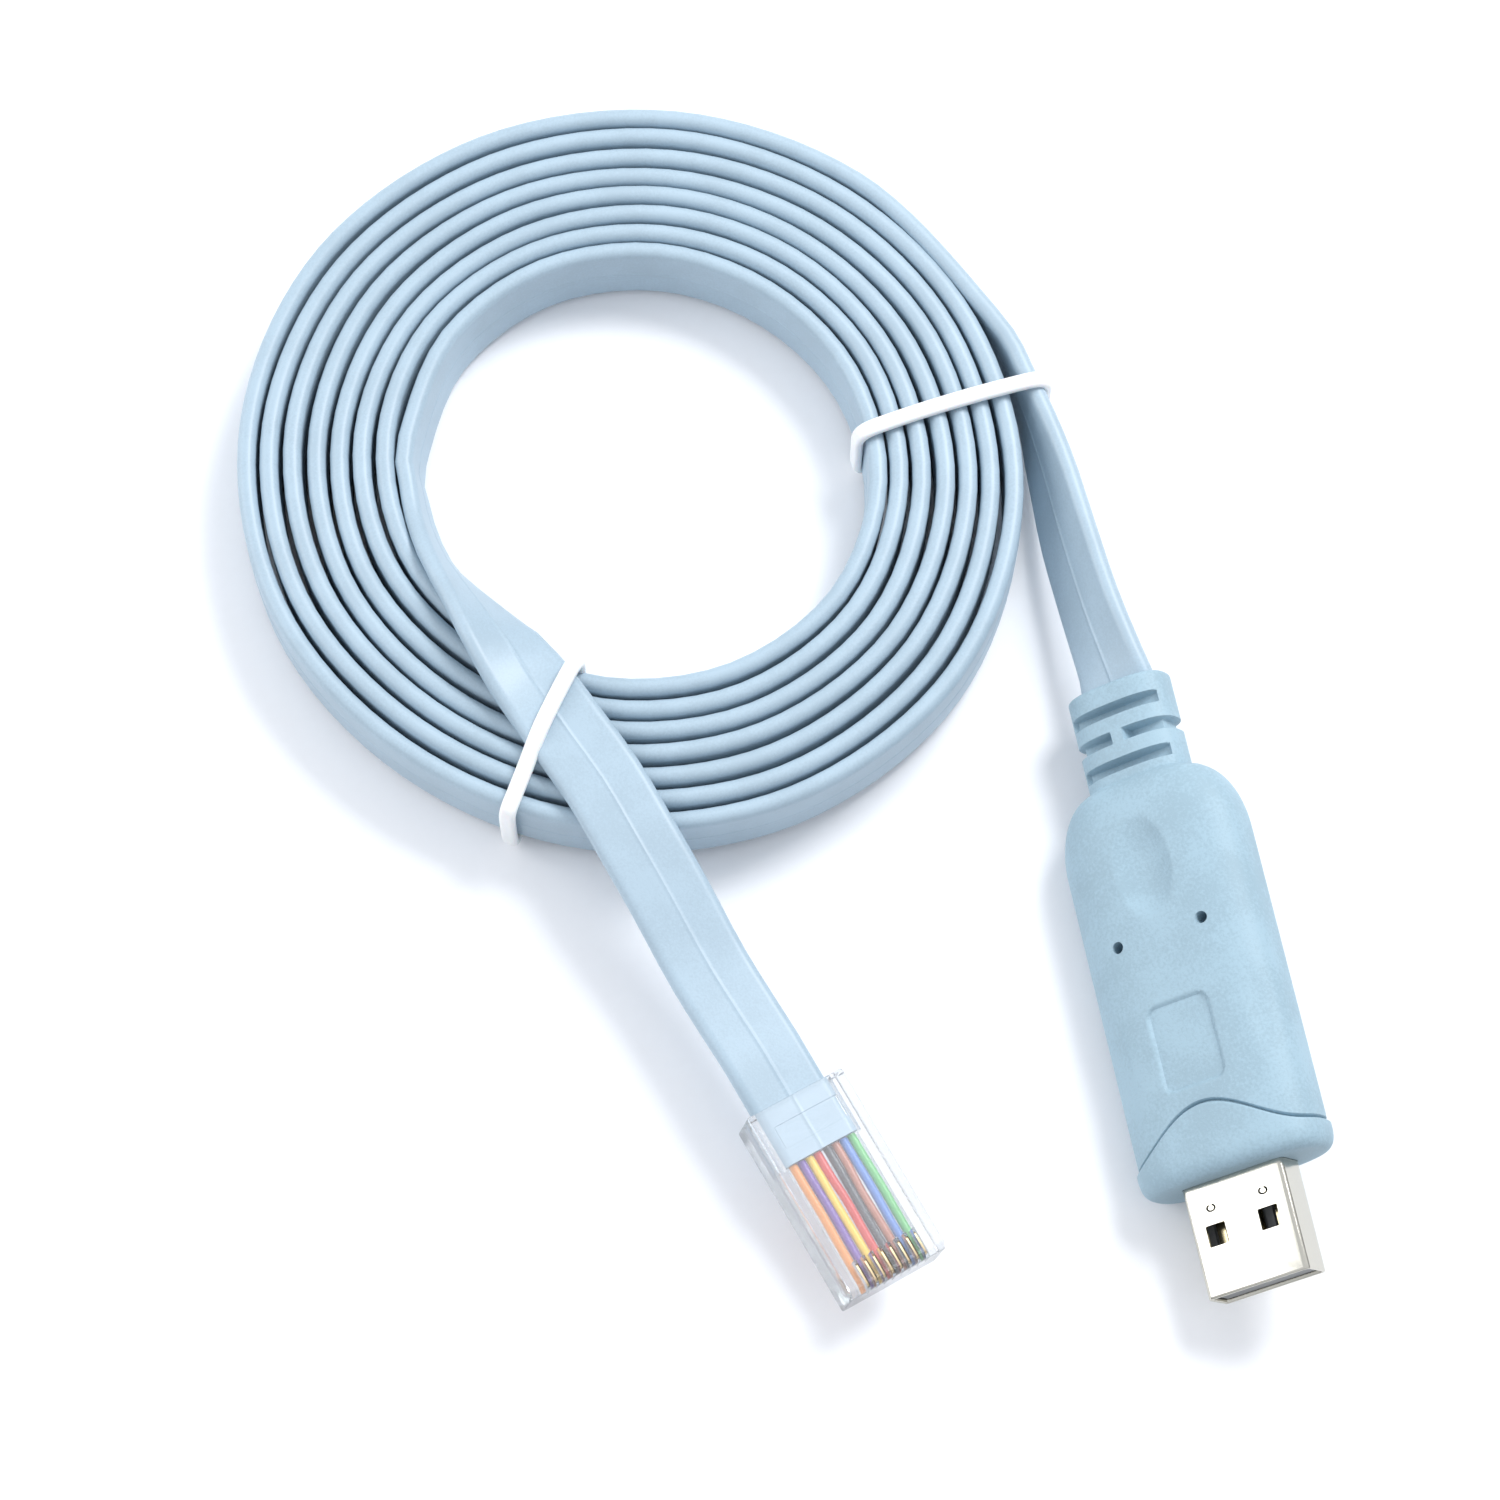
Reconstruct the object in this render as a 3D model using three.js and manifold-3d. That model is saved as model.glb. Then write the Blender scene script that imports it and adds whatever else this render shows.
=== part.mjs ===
// A console cable: a flat eight-core ribbon, coiled and tied, with a moulded adapter and its flat
// four-way plug at one end and a clear eight-way plug at the other.
// Millimetres, +Z up. The origin is on the floor under the middle of the adapter, whose axis is Y and
// whose plug points to -Y.
import * as THREE from "three";
import { mergeVertices } from "three/addons/utils/BufferGeometryUtils.js";
import Module from "manifold-3d";

const wasm = await Module();
wasm.setup();

// Clearance between neighbouring pieces
const GAP = 0.3;

// Flat ribbon
const RIBBON_WIDTH = 9.0;
const RIBBON_THICKNESS = 2.1;
const RIBBON_EDGE = 0.9; // radius of its rounded edges

// Coil: the ribbon stands on its edge
const COIL_X = -46.5;
const COIL_Y = 70.8;
const COIL_INNER_RADIUS = 24.3;
const COIL_TURNS = 8;
const TURN_SPACE = 0.37;
const TURN_GROOVE_DEPTH = 0.8;
const COIL_SEGMENTS = 56;

// White ties round the coil
const TIE_THICKNESS = 1.1;
const TIE_WIDTH = 1.9;
const TIE_CORNER = 1.2;
const TIE_SLACK = 0.75; // from the coil's walls, which it meets at a slant
const PLUG_TIE_HUMP = 0.72; // the share of its length that lies over the plug's stretch

// Adapter housing: along its axis, from the front face to the back of the strain relief
const HOUSING_LENGTH = 55.6;
const HOUSING_WIDTH = 21.2;
const HOUSING_THICKNESS = 10.8;
const HOUSING_ROLL = 32.8; // degrees: the ribbon holds the adapter tilted on its edge
const FRONT_ROUND = 1.9;
const FRONT_SHRINK = 1.7;
const SHOULDER_LENGTH = 8.2;
const NECK_LENGTH = 11.2;
const NECK_WIDTH = 11.6;
const NECK_THICKNESS = 6.4;
const BODY_SQUARENESS = 2.7;
const NECK_SQUARENESS = 4.5;

// Strain relief slots, cut down to a core round the ribbon
const SLOT_WIDTH = 1.2;
const SLOT_PITCH = 3.1;
const SLOT_FIRST = 3.1; // from the back face to the middle of the first slot
const SLOT_SIDE_WALL = 1.0;
const CORE_WIDTH = 9.4;
const CORE_THICKNESS = 3.2;
const BRIDGE_WIDTH = 1.5;

// Marks in the housing's upper face
const DIMPLE = { y: 34, length: 11.2, width: 6.4, depth: 0.55 };
const PIN_HOLE = { x: 5.1, y: 26.5, diameter: 1.3, depth: 2.6 };
const FIELD = { y: 14.2, length: 9.4, width: 7.2, corner: 1.1, depth: 0.3 };

// Flat four-way plug
const SHELL_WIDTH = 12.0;
const SHELL_HEIGHT = 4.5;
const SHELL_WALL = 0.31;
const SHELL_CORNER = 0.6;
const SHELL_REACH = 12.05; // out of the housing
const SHELL_SEAT = 4.0; // inside the housing
const WINDOW = { x: 3.1, reach: 5.65, size: 2.3 };
const TONGUE_HEIGHT = 1.75;
const TONGUE_SETBACK = 0.4;
const STRIP = { pitch: [-3.5, -1, 1, 3.5], width: 1.0, thickness: 0.25, length: 7.4, setback: 1.2 };

// Clear eight-way plug: its own frame has its back face at y = 0 and its tip at -y
const CLEAR_WIDTH = 11.7;
const CLEAR_LENGTH = 21.8;
const CLEAR_HEIGHT = 6.6;
const CLEAR_CHAMFER = 0.7;
const CLEAR_X = -44.6;
const CLEAR_Y = -4.3;
const CLEAR_YAW = 18.5;
const CLEAR_PITCH = 4.5;
const CLEAR_ROLL = -7;
const JACKET_DEPTH = 6.3; // how far the ribbon's jacket goes in
const WEDGE = { width: 7.6, length: 2.6, setback: 2.2, depth: 1.2 };
const LATCH = { width: 6.2, neckWidth: 3.4, thickness: 1.15, root: 2.4, drop: 3.4, setback: 6.5, shoulder: 13 };

// The eight wires and their contact blades
const WIRE_DIAMETER = 0.74;
const WIRE_PITCH = 1.02;
const WIRE_PAIR_SPREAD = 0.25; // the gap between the two groups of four where the jacket ends
const WIRE_END = 1.2; // from the tip
const BLADE = { thickness: 0.35, length: 2.6, height: 2.2, setback: 0.45, sink: 0.25 };
const WIRE_COLOURS = [0xe39a4f, 0x7a4fa8, 0xf0c63a, 0xd8403a, 0x4a4a4e, 0xb5705c, 0x5f86c8, 0x69b870];

// Worked out from the sizes above
const COIL_BASE = TIE_THICKNESS + GAP;
const COIL_TOP = COIL_BASE + RIBBON_WIDTH;
const TURN_PITCH = RIBBON_THICKNESS + TURN_SPACE;
const COIL_OUTER_RADIUS = COIL_INNER_RADIUS + COIL_TURNS * TURN_PITCH - TURN_SPACE;
const TAIL_RADIUS = COIL_OUTER_RADIUS + GAP + RIBBON_THICKNESS / 2;
const LYING_HEIGHT = COIL_TOP + GAP + RIBBON_THICKNESS / 2;
const UP = new THREE.Vector3(0, 0, 1);

const ribbonBlue = { color: 0xaac4dc, roughness: 0.5, metalness: 0 };
const housingBlue = { color: 0x9fbfcf, roughness: 0.6, metalness: 0 };
const tieWhite = { color: 0xf2f2f2, roughness: 0.4, metalness: 0 };
const nickel = { color: 0xd6d4cc, roughness: 0.2, metalness: 1 };
const tonguePlastic = { color: 0xf0f0ee, roughness: 0.5, metalness: 0 };
const gold = { color: 0xd9a94a, roughness: 0.3, metalness: 1 };
const clearPlastic = { color: 0xf4f7fa, roughness: 0.08, metalness: 0, transparent: true, opacity: 0.35 };

// A closed geometry as a solid for joining and cutting
function solid(geometry) {
  const bare = geometry.clone();
  bare.deleteAttribute("normal");
  bare.deleteAttribute("uv");
  const merged = mergeVertices(bare, 1e-4);
  return new wasm.Manifold(
    new wasm.Mesh({
      numProp: 3,
      vertProperties: new Float32Array(merged.attributes.position.array),
      triVerts: new Uint32Array(merged.index.array),
    }),
  );
}

function geometryOf(made) {
  const { vertProperties, triVerts } = made.getMesh();
  const geometry = new THREE.BufferGeometry();
  geometry.setAttribute("position", new THREE.BufferAttribute(vertProperties, 3));
  geometry.setIndex(new THREE.BufferAttribute(triVerts, 1));
  geometry.computeVertexNormals();
  return geometry;
}

function add(group, name, shape, material) {
  const geometry = shape.isBufferGeometry ? shape : geometryOf(shape);
  const mesh = new THREE.Mesh(geometry, new THREE.MeshStandardMaterial(material));
  mesh.name = name;
  group.add(mesh);
  return mesh;
}

function box(width, length, height, x, y, z) {
  return solid(new THREE.BoxGeometry(width, length, height).translate(x, y, z));
}

function roundedShape(width, height, radius) {
  const shape = new THREE.Shape();
  const x = width / 2;
  const y = height / 2;
  shape.moveTo(-x + radius, -y);
  shape.lineTo(x - radius, -y);
  shape.absarc(x - radius, -y + radius, radius, -Math.PI / 2, 0);
  shape.lineTo(x, y - radius);
  shape.absarc(x - radius, y - radius, radius, 0, Math.PI / 2);
  shape.lineTo(-x + radius, y);
  shape.absarc(-x + radius, y - radius, radius, Math.PI / 2, Math.PI);
  shape.lineTo(-x, -y + radius);
  shape.absarc(-x + radius, -y + radius, radius, Math.PI, 1.5 * Math.PI);
  return shape;
}

// A shape drawn in X and Z, extruded from y = start towards +Y
function extrudeAlongY(shape, start, length, curveSegments = 3) {
  const geometry = new THREE.ExtrudeGeometry(shape, { depth: length, bevelEnabled: false, curveSegments });
  return geometry.rotateX(Math.PI / 2).translate(0, start + length, 0);
}

// A section extruded in steps, with each ring of points then moved to its station
function sweep(section, stations, place) {
  const steps = stations.length - 1;
  const geometry = new THREE.ExtrudeGeometry(section, { depth: 1, steps, bevelEnabled: false });
  const position = geometry.attributes.position;
  const point = new THREE.Vector3();
  for (let i = 0; i < position.count; i++) {
    point.fromBufferAttribute(position, i);
    const moved = place(point.x, point.y, stations[Math.round(point.z * steps)]);
    position.setXYZ(i, moved.x, moved.y, moved.z);
  }
  return geometry;
}

function degrees(angle) {
  return THREE.MathUtils.degToRad(angle);
}

// The coil as one turned ring, with a groove between each two turns on both ends
function coilRing() {
  const top = [];
  for (let turn = 0; turn < COIL_TURNS; turn++) {
    const inner = COIL_INNER_RADIUS + turn * TURN_PITCH;
    const outer = inner + RIBBON_THICKNESS;
    const edge = RIBBON_THICKNESS / 4;
    top.push([inner + edge, RIBBON_WIDTH / 2]);
    top.push([outer - edge, RIBBON_WIDTH / 2]);
    if (turn < COIL_TURNS - 1) {
      top.push([outer + TURN_SPACE / 2, RIBBON_WIDTH / 2 - TURN_GROOVE_DEPTH]);
    }
  }
  const shoulder = RIBBON_WIDTH / 2 - RIBBON_THICKNESS / 4;
  const upper = [[COIL_INNER_RADIUS, shoulder], ...top, [COIL_OUTER_RADIUS, shoulder]];
  const lower = upper.map(([radius, height]) => [radius, -height]).reverse();
  const outline = [...upper, ...lower].reverse().map(([radius, height]) => new THREE.Vector2(radius, height));
  outline.push(outline[0].clone());
  const ring = new THREE.LatheGeometry(outline, COIL_SEGMENTS);
  return ring.rotateX(Math.PI / 2).translate(COIL_X, COIL_Y, COIL_BASE + RIBBON_WIDTH / 2);
}

// The ribbon's section: flat faces and rounded edges
function ribbonSection() {
  return new THREE.Shape(roundedShape(RIBBON_WIDTH, RIBBON_THICKNESS, RIBBON_EDGE).getPoints(1));
}

// The ribbon along a route of [point, roll]: roll is the angle of its width out of the floor
function ribbonAlong(route, stepsPerSpan) {
  const line = new THREE.CatmullRomCurve3(route.map(([point]) => point));
  const spans = route.length - 1;
  const stations = [];
  for (let i = 0; i <= spans * stepsPerSpan; i++) {
    const t = i / (spans * stepsPerSpan);
    const span = Math.min(Math.floor(t * spans), spans - 1);
    const roll = degrees(THREE.MathUtils.lerp(route[span][1], route[span + 1][1], t * spans - span));
    const along = line.getTangent(t);
    const level = new THREE.Vector3().crossVectors(UP, along).normalize();
    const rise = new THREE.Vector3().crossVectors(along, level);
    const across = level.multiplyScalar(Math.cos(roll)).addScaledVector(rise, Math.sin(roll));
    const normal = new THREE.Vector3().crossVectors(along, across);
    stations.push({ middle: line.getPoint(t), across, normal });
  }
  return sweep(ribbonSection(), stations, (x, y, { middle, across, normal }) =>
    middle.clone().addScaledVector(across, x).addScaledVector(normal, y),
  );
}

// A point of the plan at a radius and an angle from the coil's centre
function fromCoil(radius, angle, z = 0) {
  const turn = degrees(angle);
  return new THREE.Vector3(COIL_X + radius * Math.cos(turn), COIL_Y + radius * Math.sin(turn), z);
}

// A tie round the coil, in the upright plane from its inner end to its outer end. Seen from the side it
// is the union of rounded rectangles [length from the inner end, top].
function tie(inner, outer, humps) {
  const span = inner.distanceTo(outer);
  const ring = (grow) => {
    const parts = humps.map(([share, top]) => {
      const length = share * span;
      const height = top - TIE_THICKNESS;
      const shape = roundedShape(length + 2 * grow, height + 2 * grow, TIE_CORNER + grow);
      const width = TIE_WIDTH + (grow ? 0 : 1);
      const geometry = extrudeAlongY(shape, -width / 2, width);
      return solid(geometry.translate(length / 2, 0, TIE_THICKNESS + height / 2));
    });
    return parts.reduce((all, one) => all.add(one));
  };
  const loop = ring(TIE_THICKNESS).subtract(ring(0));
  const angle = Math.atan2(outer.y - inner.y, outer.x - inner.x);
  return geometryOf(loop).rotateZ(angle).translate(inner.x, inner.y, 0);
}

// Adapter housing
const BODY_BACK = HOUSING_LENGTH - NECK_LENGTH;
const SHOULDER_FRONT = BODY_BACK - SHOULDER_LENGTH;

// Half width, half thickness and squareness of the housing's section at each station of its length
function housingStations() {
  const stations = [];
  const station = (y, body) => {
    stations.push({
      y,
      halfWidth: THREE.MathUtils.lerp(NECK_WIDTH, HOUSING_WIDTH, body) / 2,
      halfThickness: THREE.MathUtils.lerp(NECK_THICKNESS, HOUSING_THICKNESS, body) / 2,
      squareness: THREE.MathUtils.lerp(NECK_SQUARENESS, BODY_SQUARENESS, body),
      shrink: 0,
    });
  };
  station(HOUSING_LENGTH, 0);
  const steps = 8;
  for (let i = 0; i <= steps; i++) {
    const turn = (i / steps) * (Math.PI / 2);
    station(BODY_BACK - SHOULDER_LENGTH * (1 - Math.cos(turn)), Math.sin(turn));
  }
  const rounds = 4;
  for (let i = 0; i <= rounds; i++) {
    const turn = (i / rounds) * (Math.PI / 2);
    station(FRONT_ROUND * (1 - Math.sin(turn)), 1);
    stations[stations.length - 1].shrink = FRONT_SHRINK * (1 - Math.cos(turn));
  }
  return stations;
}

// A point of the housing's section, from a point of the unit circle
function sectionPoint(x, z, { halfWidth, halfThickness, squareness, shrink }) {
  const power = 2 / squareness;
  return [
    Math.sign(x) * Math.abs(x) ** power * (halfWidth - shrink),
    Math.sign(z) * Math.abs(z) ** power * (halfThickness - shrink),
  ];
}

const CIRCLE_SIDES = 40;

function housing() {
  const circle = new THREE.Shape();
  for (let i = 0; i < CIRCLE_SIDES; i++) {
    const turn = ((i + 0.5) / CIRCLE_SIDES) * 2 * Math.PI;
    circle[i ? "lineTo" : "moveTo"](Math.cos(turn), Math.sin(turn));
  }
  const shape = sweep(circle, housingStations(), (x, z, station) => {
    const [across, up] = sectionPoint(x, z, station);
    return new THREE.Vector3(across, station.y, up);
  });
  let made = solid(shape);

  // The plug's shell sits in a pocket in the front face
  const seat = SHELL_SEAT + GAP;
  const pocket = roundedShape(SHELL_WIDTH + 2 * GAP, SHELL_HEIGHT + 2 * GAP, SHELL_CORNER + GAP);
  made = made.subtract(solid(extrudeAlongY(pocket, -1, seat + 1)));

  // Strain relief: the outer slots are closed at the sides, and the middle one is open there
  for (const row of [0, 1, 2]) {
    const y = HOUSING_LENGTH - SLOT_FIRST - row * SLOT_PITCH;
    const full = box(2 * NECK_WIDTH, SLOT_WIDTH, 2 * NECK_THICKNESS, 0, y, 0);
    const core = box(CORE_WIDTH, 2 * SLOT_WIDTH, CORE_THICKNESS, 0, y, 0);
    let kept = core;
    if (row === 1) {
      kept = kept.add(box(BRIDGE_WIDTH, 2 * SLOT_WIDTH, 3 * NECK_THICKNESS, 0, y, 0));
    } else {
      for (const side of [-1, 1]) {
        const wall = NECK_WIDTH;
        const x = side * (NECK_WIDTH / 2 - SLOT_SIDE_WALL + wall / 2);
        kept = kept.add(box(wall, 2 * SLOT_WIDTH, 3 * NECK_THICKNESS, x, y, 0));
        kept = kept.add(box(wall, 2 * SLOT_WIDTH, CORE_THICKNESS, side * (wall / 2), y, 0));
      }
    }
    made = made.subtract(full.subtract(kept));
  }

  const face = HOUSING_THICKNESS / 2;
  const bowl = new THREE.SphereGeometry(1, 24, 16);
  bowl.scale(DIMPLE.width * 0.6, DIMPLE.length * 0.6, 2 * DIMPLE.depth);
  made = made.subtract(solid(bowl.translate(0, DIMPLE.y, face + DIMPLE.depth)));
  for (const side of [-1, 1]) {
    const hole = new THREE.CylinderGeometry(PIN_HOLE.diameter / 2, PIN_HOLE.diameter / 2, 2 * PIN_HOLE.depth, 16);
    hole.rotateX(Math.PI / 2).translate(side * PIN_HOLE.x, PIN_HOLE.y, face);
    made = made.subtract(solid(hole));
  }
  const field = extrudeAlongY(roundedShape(FIELD.width, FIELD.length, FIELD.corner), 0, 2 * FIELD.depth);
  field.rotateX(Math.PI / 2).translate(0, FIELD.y, face);
  return made.subtract(solid(field));
}

// How high the rolled housing's axis is when its lowest edge touches the floor
function housingAxisHeight() {
  const body = { halfWidth: HOUSING_WIDTH / 2, halfThickness: HOUSING_THICKNESS / 2, squareness: BODY_SQUARENESS, shrink: 0 };
  const roll = degrees(HOUSING_ROLL);
  let most = 0;
  for (let i = 0; i < CIRCLE_SIDES; i++) {
    const turn = ((i + 0.5) / CIRCLE_SIDES) * 2 * Math.PI;
    const [x, z] = sectionPoint(Math.cos(turn), Math.sin(turn), body);
    most = Math.max(most, x * Math.sin(roll) + z * Math.cos(roll));
  }
  return most;
}

function shell() {
  const outside = roundedShape(SHELL_WIDTH, SHELL_HEIGHT, SHELL_CORNER);
  const inside = roundedShape(SHELL_WIDTH - 2 * SHELL_WALL, SHELL_HEIGHT - 2 * SHELL_WALL, SHELL_CORNER - SHELL_WALL);
  let made = solid(extrudeAlongY(outside, -SHELL_REACH, SHELL_REACH + SHELL_SEAT));
  made = made.subtract(solid(extrudeAlongY(inside, -SHELL_REACH - 1, SHELL_REACH + SHELL_SEAT + 1 - SHELL_WALL)));
  for (const side of [-1, 1]) {
    made = made.subtract(box(WINDOW.size, WINDOW.size, 2 * SHELL_HEIGHT, side * WINDOW.x, -WINDOW.reach, 0));
  }
  return made;
}

// The tongue fills the lower half of the shell, with a groove for each contact strip
const TONGUE_BOTTOM = -SHELL_HEIGHT / 2 + SHELL_WALL + GAP;
const TONGUE_TOP = TONGUE_BOTTOM + TONGUE_HEIGHT;
const STRIP_FRONT = -SHELL_REACH + TONGUE_SETBACK + STRIP.setback;

function tongue() {
  const width = SHELL_WIDTH - 2 * SHELL_WALL - 2 * GAP;
  const front = -SHELL_REACH + TONGUE_SETBACK;
  const length = SHELL_SEAT - SHELL_WALL - GAP - front;
  let made = box(width, length, TONGUE_HEIGHT, 0, front + length / 2, (TONGUE_BOTTOM + TONGUE_TOP) / 2);
  for (const x of STRIP.pitch) {
    const groove = [STRIP.width + 2 * GAP, STRIP.length + 2 * GAP, 2 * (STRIP.thickness + GAP)];
    made = made.subtract(box(...groove, x, STRIP_FRONT + STRIP.length / 2, TONGUE_TOP));
  }
  return made;
}

function buildAdapter() {
  const adapter = new THREE.Group();
  adapter.rotation.y = -degrees(HOUSING_ROLL);
  adapter.position.set(0, -(HOUSING_LENGTH - SHELL_REACH) / 2, housingAxisHeight());
  add(adapter, "adapter_housing", housing(), housingBlue);
  add(adapter, "usb_shell", shell(), nickel);
  add(adapter, "usb_tongue", tongue(), tonguePlastic);
  STRIP.pitch.forEach((x, i) => {
    const strip = new THREE.BoxGeometry(STRIP.width, STRIP.length, STRIP.thickness);
    const mesh = add(adapter, `usb_contact_${i + 1}`, strip, gold);
    mesh.position.set(x, STRIP_FRONT + STRIP.length / 2, TONGUE_TOP - STRIP.thickness / 2);
  });
  return adapter;
}

// Clear plug
const WIRE_COUNT = WIRE_COLOURS.length;

function wireX(i, pitch = WIRE_PITCH) {
  return (i - (WIRE_COUNT - 1) / 2) * pitch;
}

// A side view drawn in Y and Z, extruded across X
function extrudeAcross(points, width) {
  const shape = new THREE.Shape(points.map(([y, z]) => new THREE.Vector2(y, z)));
  const geometry = new THREE.ExtrudeGeometry(shape, { depth: width, bevelEnabled: false });
  return geometry.rotateX(Math.PI / 2).rotateZ(Math.PI / 2).translate(-width / 2, 0, 0);
}

function clearBody() {
  const top = CLEAR_HEIGHT / 2;
  const tip = -CLEAR_LENGTH;
  const side = [
    [0, -top],
    [0, top],
    [tip + CLEAR_CHAMFER, top],
    [tip, top - CLEAR_CHAMFER],
    [tip, -top],
  ];
  let made = solid(extrudeAcross(side, CLEAR_WIDTH));

  // The latch springs from the tip's underside back towards the cable
  const root = tip + 0.6;
  const lever = (from, to) => {
    const at = (y) => -top - 0.55 - (LATCH.drop - 0.55) * ((y - root) / (-LATCH.setback - root));
    return [
      [from, at(from) - LATCH.thickness],
      [to, at(to) - LATCH.thickness],
      [to, at(to)],
      [from, at(from)],
    ];
  };
  const arm = lever(root, -LATCH.setback);
  const wide = lever(root, -LATCH.shoulder);
  const heel = [
    [root, -top - 1],
    [root + LATCH.root, -top - 1],
    [root + LATCH.root, -top + 0.2],
    [root, -top + 0.2],
  ];
  made = made.add(solid(extrudeAcross(arm, LATCH.neckWidth)));
  made = made.add(solid(extrudeAcross(wide, LATCH.width)));
  made = made.add(solid(extrudeAcross(heel, LATCH.width)));

  // Cable mouth, wire channel, blade slots and the wedge's pocket over the jacket
  const mouth = JACKET_DEPTH + GAP;
  made = made.subtract(box(RIBBON_WIDTH + 2 * GAP, mouth + 1, RIBBON_THICKNESS + 2 * GAP, 0, (1 - mouth) / 2, 0));
  const channel = CLEAR_LENGTH - WIRE_END + GAP;
  const channelWidth = wireX(WIRE_COUNT - 1) * 2 + WIRE_DIAMETER + 2 * GAP;
  made = made.subtract(box(channelWidth, channel, WIRE_DIAMETER + 2 * GAP, 0, -channel / 2, 0));
  for (let i = 0; i < WIRE_COUNT; i++) {
    const length = BLADE.length + BLADE.setback + GAP;
    made = made.subtract(
      box(BLADE.thickness + 0.3, length + 1, top + 1, wireX(i), tip + length - (length + 1) / 2, (top + 1) / 2),
    );
  }
  const wedgeY = -WEDGE.setback - WEDGE.length / 2;
  return made.subtract(box(WEDGE.width, WEDGE.length, 2 * WEDGE.depth, 0, wedgeY, top));
}

function wire(i) {
  const half = WIRE_COUNT / 2;
  const bunched = wireX(i, WIRE_PITCH + 0.02) + (i < half ? -1 : 1) * WIRE_PAIR_SPREAD * 0.4;
  const from = -JACKET_DEPTH - GAP;
  const to = -CLEAR_LENGTH + WIRE_END;
  const line = new THREE.CatmullRomCurve3([
    new THREE.Vector3(bunched, from, 0),
    new THREE.Vector3(bunched, from - 3, 0),
    new THREE.Vector3(wireX(i), to + 4, 0),
    new THREE.Vector3(wireX(i), to, 0),
  ]);
  const section = new THREE.Shape();
  const sides = 8;
  for (let corner = 0; corner < sides; corner++) {
    const turn = ((corner + 0.5) / sides) * 2 * Math.PI;
    section[corner ? "lineTo" : "moveTo"]((Math.cos(turn) * WIRE_DIAMETER) / 2, (Math.sin(turn) * WIRE_DIAMETER) / 2);
  }
  return new THREE.ExtrudeGeometry(section, { steps: 8, extrudePath: line });
}

// The lowest corner of the latch stands on the floor
function clearPlugHeight() {
  const turned = new THREE.Euler(degrees(CLEAR_PITCH), -degrees(CLEAR_ROLL), degrees(CLEAR_YAW), "ZXY");
  const lowest = [-1, 1].map((side) =>
    new THREE.Vector3(
      (side * LATCH.neckWidth) / 2,
      -LATCH.setback,
      -CLEAR_HEIGHT / 2 - LATCH.drop - LATCH.thickness,
    ).applyEuler(turned).z,
  );
  return -Math.min(...lowest);
}

function placedClearPlug() {
  const plug = new THREE.Group();
  plug.rotation.set(degrees(CLEAR_PITCH), -degrees(CLEAR_ROLL), degrees(CLEAR_YAW), "ZXY");
  plug.position.set(CLEAR_X, CLEAR_Y, clearPlugHeight());
  plug.updateMatrixWorld(true);
  return plug;
}

function buildClearPlug() {
  const plug = placedClearPlug();
  add(plug, "rj45_body", clearBody(), clearPlastic);
  WIRE_COLOURS.forEach((color, i) => {
    add(plug, `wire_${i + 1}`, wire(i), { color, roughness: 0.45, metalness: 0 });
    const blade = new THREE.BoxGeometry(BLADE.thickness, BLADE.length, BLADE.height);
    const mesh = add(plug, `rj45_contact_${i + 1}`, blade, gold);
    const y = -CLEAR_LENGTH + BLADE.setback + BLADE.length / 2;
    mesh.position.set(wireX(i), y, CLEAR_HEIGHT / 2 - BLADE.sink - BLADE.height / 2);
  });
  return plug;
}

// The stretch from the coil's outer turn to the adapter, twisting from its edge to the adapter's roll
function adapterTail() {
  const axis = housingAxisHeight();
  const standing = COIL_BASE + RIBBON_WIDTH / 2;
  const end = (HOUSING_LENGTH + SHELL_REACH) / 2 + GAP;
  return ribbonAlong(
    [
      [fromCoil(TAIL_RADIUS, 10, standing), 90],
      [fromCoil(TAIL_RADIUS, 5, standing), 90],
      [fromCoil(TAIL_RADIUS, 0, standing), 86],
      [new THREE.Vector3(-1.1, 62, standing), 72],
      [new THREE.Vector3(-0.9, 53, standing + 0.5), 54],
      [new THREE.Vector3(-0.4, 44, axis - 0.6), 40],
      [new THREE.Vector3(0, end + 2, axis), HOUSING_ROLL],
      [new THREE.Vector3(0, end, axis), HOUSING_ROLL],
    ],
    4,
  );
}

// The stretch that lies across the coil and runs down into the clear plug
function plugTail() {
  const plug = placedClearPlug();
  const inPlug = (y) => plug.localToWorld(new THREE.Vector3(0, y, 0));
  const clear = LYING_HEIGHT;
  return ribbonAlong(
    [
      [new THREE.Vector3(-63.7, 51.9, clear), 0],
      [new THREE.Vector3(-61.1, 45.7, clear), 0],
      [new THREE.Vector3(-59.3, 39.7, clear), 0],
      [new THREE.Vector3(-57.1, 33.5, clear), 0],
      [new THREE.Vector3(-54.8, 26.4, clear - 0.2), 0],
      [new THREE.Vector3(-52.6, 19.7, clear - 1.3), 0],
      [new THREE.Vector3(-50.0, 11.2, clear - 2.6), CLEAR_ROLL * 0.5],
      [inPlug(6), CLEAR_ROLL],
      [inPlug(3), CLEAR_ROLL],
      [inPlug(0), CLEAR_ROLL],
      [inPlug(-JACKET_DEPTH / 2), CLEAR_ROLL],
      [inPlug(-JACKET_DEPTH), CLEAR_ROLL],
    ],
    2,
  );
}

function buildRibbon() {
  const ribbon = new THREE.Group();
  add(ribbon, "ribbon_coil", coilRing(), ribbonBlue);
  add(ribbon, "ribbon_adapter_tail", adapterTail(), ribbonBlue);
  add(ribbon, "ribbon_plug_tail", plugTail(), ribbonBlue);
  return ribbon;
}

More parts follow.
